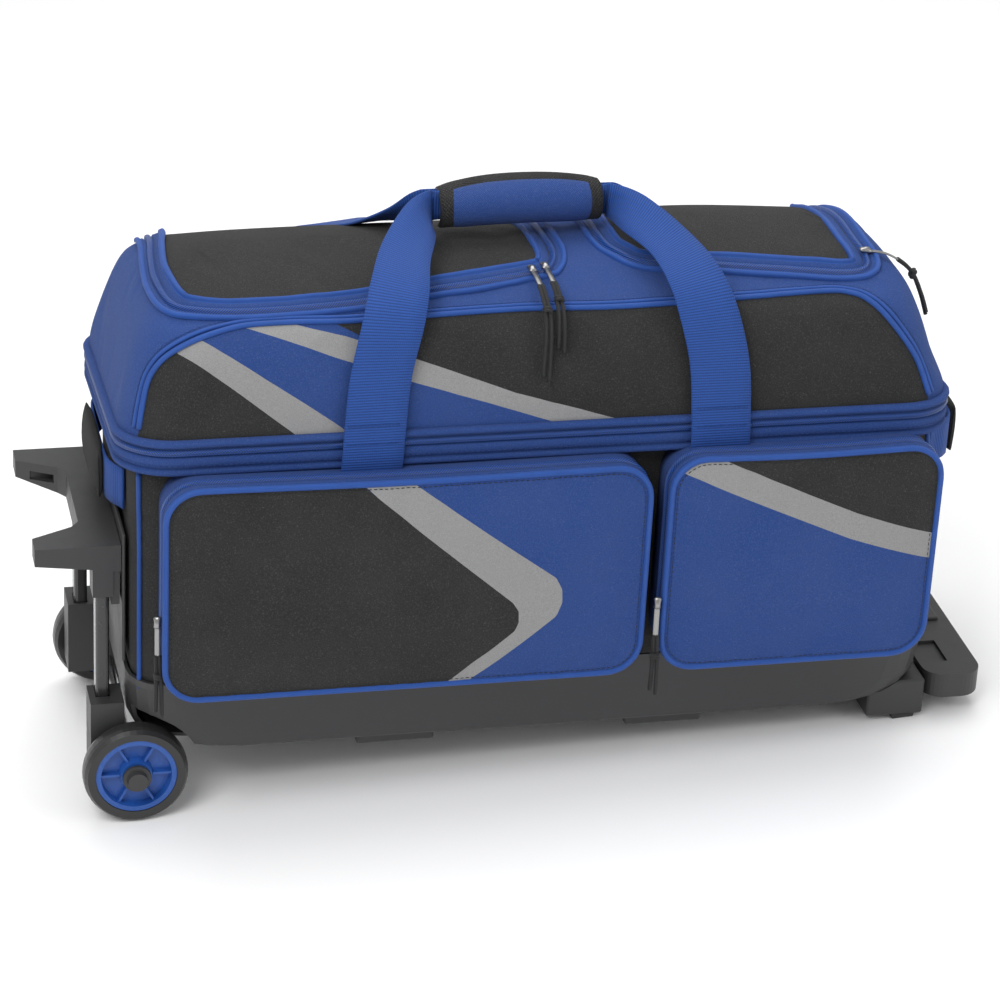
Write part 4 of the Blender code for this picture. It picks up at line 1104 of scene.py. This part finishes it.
def grip_point(x, z, tall, deep, degrees):
    """A point of the grip's section: 0 is its front, 90 its top and 180 its back."""
    angle = math.radians(degrees)
    return (STRAP_CENTRE + x, -deep * math.cos(angle), z + tall * math.sin(angle))


def make_grab_handles():
    for name, side, wall, stand_off in (("left", -1, 0.356, 0.014), ("right", 1, 0.352, 0.03)):
        profile = (
            (-0.079, 0.0012), (-0.073, 0.0012 + 0.22 * stand_off), (-0.064, 0.7 * stand_off),
            (-0.048, 0.95 * stand_off), (0.0, stand_off),
        )
        profile += tuple((-y, out) for y, out in reversed(profile[:-1]))
        stations = [(side * (wall + out), y, GRAB_Z, 0.0, 0.0, 0.038) for y, out in profile]
        strap = webbing(f"{name}_grab_webbing", stations, "bag_base")
        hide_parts(f"{name}_grab_strap")
        rows = []
        for y in np.linspace(-0.05, 0.05, 26):
            share = abs(y) / 0.05
            puff = 0.005 * (1 - share ** 6) + 0.0016
            tall = 0.0225 * (1 - 0.06 * share ** 4)
            middle = side * (wall + stand_off + 0.004)
            ring = []
            for k in range(18):
                angle = 2 * math.pi * k / 18
                squared = abs(math.cos(angle)) ** 0.7 * math.copysign(1, math.cos(angle))
                ring.append((middle + side * puff * squared, y, GRAB_Z + tall * math.sin(angle)))
            rows.append(ring)
        pad = grid(f"{name}_grab_cover", rows, [COARSE_CLOTH], "bag_base", around=True,
                   ends=(0, len(rows) - 1))
        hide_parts(f"{name}_grab_pad")


# ---------------------------------------------------------------- zip pulls
OVER_LID = ((0.0005, -0.02, -0.001), (0.001, -0.04, -0.005), (0.001, -0.057, -0.014),
            (0.0005, -0.067, -0.03), (0.0, -0.069, -0.048), (-0.001, -0.072, -0.07))
OVER_END = ((0.02, -0.002, -0.004), (0.04, -0.004, -0.018), (0.051, -0.006, -0.039),
            (0.058, -0.008, -0.06))
HANGING = ((0.0, -0.001, -0.03), (0.001, -0.001, -0.06), (0.001, -0.001, -0.088))
# name, slider, the pull's line from its slider, which way it faces
PULLS = (
    ("left_flap_pull", (-0.015, -0.078, 0.416), OVER_LID, (0.0, -0.6, 0.8)),
    ("left_flap_second_pull", (-0.003, -0.074, 0.4165), OVER_LID[:-1], (0.0, -0.6, 0.8)),
    ("right_flap_pull", (0.282, -0.066, 0.415), OVER_END, (0.7, 0.0, 0.7)),
    ("left_pocket_pull", (-0.34, -0.168, 0.15), HANGING, (-0.25, -0.97, 0.0)),
    ("right_pocket_pull", (0.086, -0.1795, 0.145), HANGING, (-0.25, -0.97, 0.0)),
)
TAB_LENGTH = 0.032
TAB_WIDTH = 0.0042
PULL_STEP = 0.002


def make_pulls():
    for name, slider, line, facing in PULLS:
        start = np.array(slider)
        path = curve_through([start, *(start + np.array(p) for p in line)], PULL_STEP)
        normals = np.tile(np.array(facing) / np.linalg.norm(facing), (len(path), 1))
        body = f"{name}_body"
        at = int(TAB_LENGTH / PULL_STEP)
        tab = sweep(f"{name}_tab", path[: at + 1], normals[: at + 1], tab_profile(), [METAL], body,
                    tube=True)
        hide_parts(name)
        slider_block(f"{name}_slider", path[0], path[2] - path[0], normals[0], body)
        braided_cord(name, path[at - 1:], normals[at - 1:], body)


def tab_profile():
    half, thick = TAB_WIDTH / 2, 0.0006
    return [(-half, -thick), (0.0, -thick), (half, -thick), (half + 0.0004, 0.0), (half, thick),
            (0.0, thick * 1.5), (-half, thick), (-half - 0.0004, 0.0)]


def slider_block(name, place, heading, normal, body):
    """A zip slider: a waisted body with the bridge that holds its tab."""
    heading = heading / np.linalg.norm(heading)
    stations = ((-0.006, 0.0026, 0.0012), (-0.0045, 0.0036, 0.002), (-0.001, 0.0028, 0.0032),
                (0.0015, 0.003, 0.0034), (0.0038, 0.0034, 0.0018), (0.0048, 0.0026, 0.0011))
    aside = np.cross(heading, normal)
    aside /= np.linalg.norm(aside)
    out = np.cross(aside, heading)
    rows = []
    for along, wide, tall in stations:
        ring = []
        for k in range(12):
            angle = 2 * math.pi * k / 12
            ring.append(place + heading * along + aside * wide * math.cos(angle)
                        + out * tall * math.sin(angle))
        rows.append(ring)
    grid(name, rows, [METAL], body, around=True, ends=(0, len(rows) - 1))


def braided_cord(name, path, normals, body):
    """Two strands side by side, tied in a knot at a third of their length."""
    count = len(path)
    aside = sideways(path, normals)
    knot = max(2, count // 3)
    share = np.arange(count) / (count - 1)
    spread = 0.0015 + 0.0012 * share * (np.arange(count) > knot)
    for side, label in ((-1, "a"), (1, "b")):
        strand = path + aside * (side * spread)[:, None]
        strand = strand[: count - (2 if side > 0 else 0)]
        cord(f"{name}_strand_{label}", strand, normals[: len(strand)], 0.0018, CORD, body)
    knots(f"{name}_knot", path[knot], directions(path, False)[knot], normals[knot], body)


def knots(name, place, heading, normal, body):
    """A small overhand knot: a ring that goes twice round the strands."""
    aside = np.cross(heading, normal)
    aside /= np.linalg.norm(aside)
    line, facing = [], []
    for k in range(25):
        angle = 4 * math.pi * k / 24
        radial = aside * math.cos(angle) + normal * math.sin(angle)
        line.append(place + radial * 0.0028 + heading * (0.0045 * (k / 24 - 0.5)))
        facing.append(radial)
    cord(name, line, facing, 0.0017, CORD, body)


# ---------------------------------------------------------------- stage
AZIMUTH = math.radians(12.373)
ELEVATION = math.radians(27.398)
PITCH = math.radians(2.796)
DISTANCE = 3.1313
FOCUS = Vector((-0.005, 0.0, 0.1602))
LENS = 126.905


def make_camera():
    """The camera is fixed to the bag's frame, which the photograph shows pitched by a few degrees."""
    back = Vector((
        -math.sin(AZIMUTH) * math.cos(ELEVATION),
        -math.cos(AZIMUTH) * math.cos(ELEVATION),
        math.sin(ELEVATION),
    ))
    right = Vector((math.cos(AZIMUTH), -math.sin(AZIMUTH), 0.0))
    up = back.cross(right)
    turn = Matrix((right, up, back)).transposed().to_4x4()
    camera = new_object("camera", bpy.data.cameras.new("camera"))
    camera.data.lens = LENS
    pitched = Matrix.Translation(FOCUS + back * DISTANCE) @ turn
    camera.matrix_world = BAG @ Matrix.Rotation(-PITCH, 4, "Y") @ pitched
    bpy.context.scene.camera = camera


def make_lights():
    aim = Vector((0.0, 0.0, 0.2))
    for name, place, size, power in (
        ("key", (-1.3, -1.6, 2.6), 1.5, 52.0),
        ("fill", (2.2, -2.0, 1.6), 1.6, 14.0),
        ("top", (0.2, 0.8, 2.8), 2.2, 42.0),
    ):
        lamp = new_object(name, bpy.data.lights.new(name, "AREA"))
        lamp.data.size = size
        lamp.data.energy = power
        lamp.location = place
        lamp.rotation_euler = (aim - Vector(place)).to_track_quat("-Z", "Y").to_euler()
    world = bpy.data.worlds.new("studio")
    world.use_nodes = True
    background = world.node_tree.nodes["Background"]
    background.inputs["Color"].default_value = (1.0, 1.0, 1.0, 1.0)
    background.inputs["Strength"].default_value = 0.62
    bpy.context.scene.world = world
    bpy.context.scene.view_settings.view_transform = "Standard"


def make_floor():
    mesh = bpy.data.meshes.new("floor")
    half = 40.0
    corners = [(-half, -half, 0), (half, -half, 0), (half, half, 0), (-half, half, 0)]
    mesh.from_pydata(corners, [], [(0, 1, 2, 3)])
    skin = Skin("floor_paint", 0.9)
    skin.finish(skin.mix(skin.noise(3.0), (0.93, 0.93, 0.93), (0.95, 0.95, 0.95)), skin.noise(50.0), 0.0001)
    mesh.materials.append(skin.material)
    floor = new_object("floor", mesh)


def dress_frame():
    """Materials for the CAD pieces that are shown as they are."""
    tyre = moulded("tyre_rubber", (0.02, 0.02, 0.02), 0.34, 900.0, 0.00004)
    rim = moulded("rim_plastic", (0.014, 0.07, 0.29), 0.3)
    gloss = moulded("gloss_black", (0.018, 0.018, 0.019), 0.22, coat=0.3)
    rubber = moulded("foot_rubber", (0.028, 0.028, 0.028), 0.8)
    foam = woven("foam", (0.09, 0.09, 0.095), pitch=0.003)
    aluminium = metal("aluminium", (0.62, 0.62, 0.63), 0.32)
    steel = metal("steel", (0.45, 0.45, 0.46), 0.28)
    by_slot = {
        "moulded_plastic": BLACK_PLASTIC, "gloss_black": gloss, "tyre": tyre, "foot_rubber": rubber,
        "rim_plastic": rim, "axle_steel": steel, "tube_metal": aluminium, "zip_metal": METAL,
        "charcoal_fabric": BLACK_CLOTH, "blue_fabric": BLUE_CLOTH, "webbing": BLUE_WEBBING,
        "lining": LINING_CLOTH, "foam": foam,
    }
    for entry in frame["record"]["subparts"]:
        node = NODES[entry["node"]]
        node.data.materials.clear()
        node.data.materials.append(by_slot[entry["material_slot"]])


make_camera()
make_lights()
make_floor()
dress_frame()
make_lid()
make_belts()
make_hinge_lining()
make_lower_body()
make_pockets()
make_straps()
make_grip()
make_grab_handles()
make_pulls()
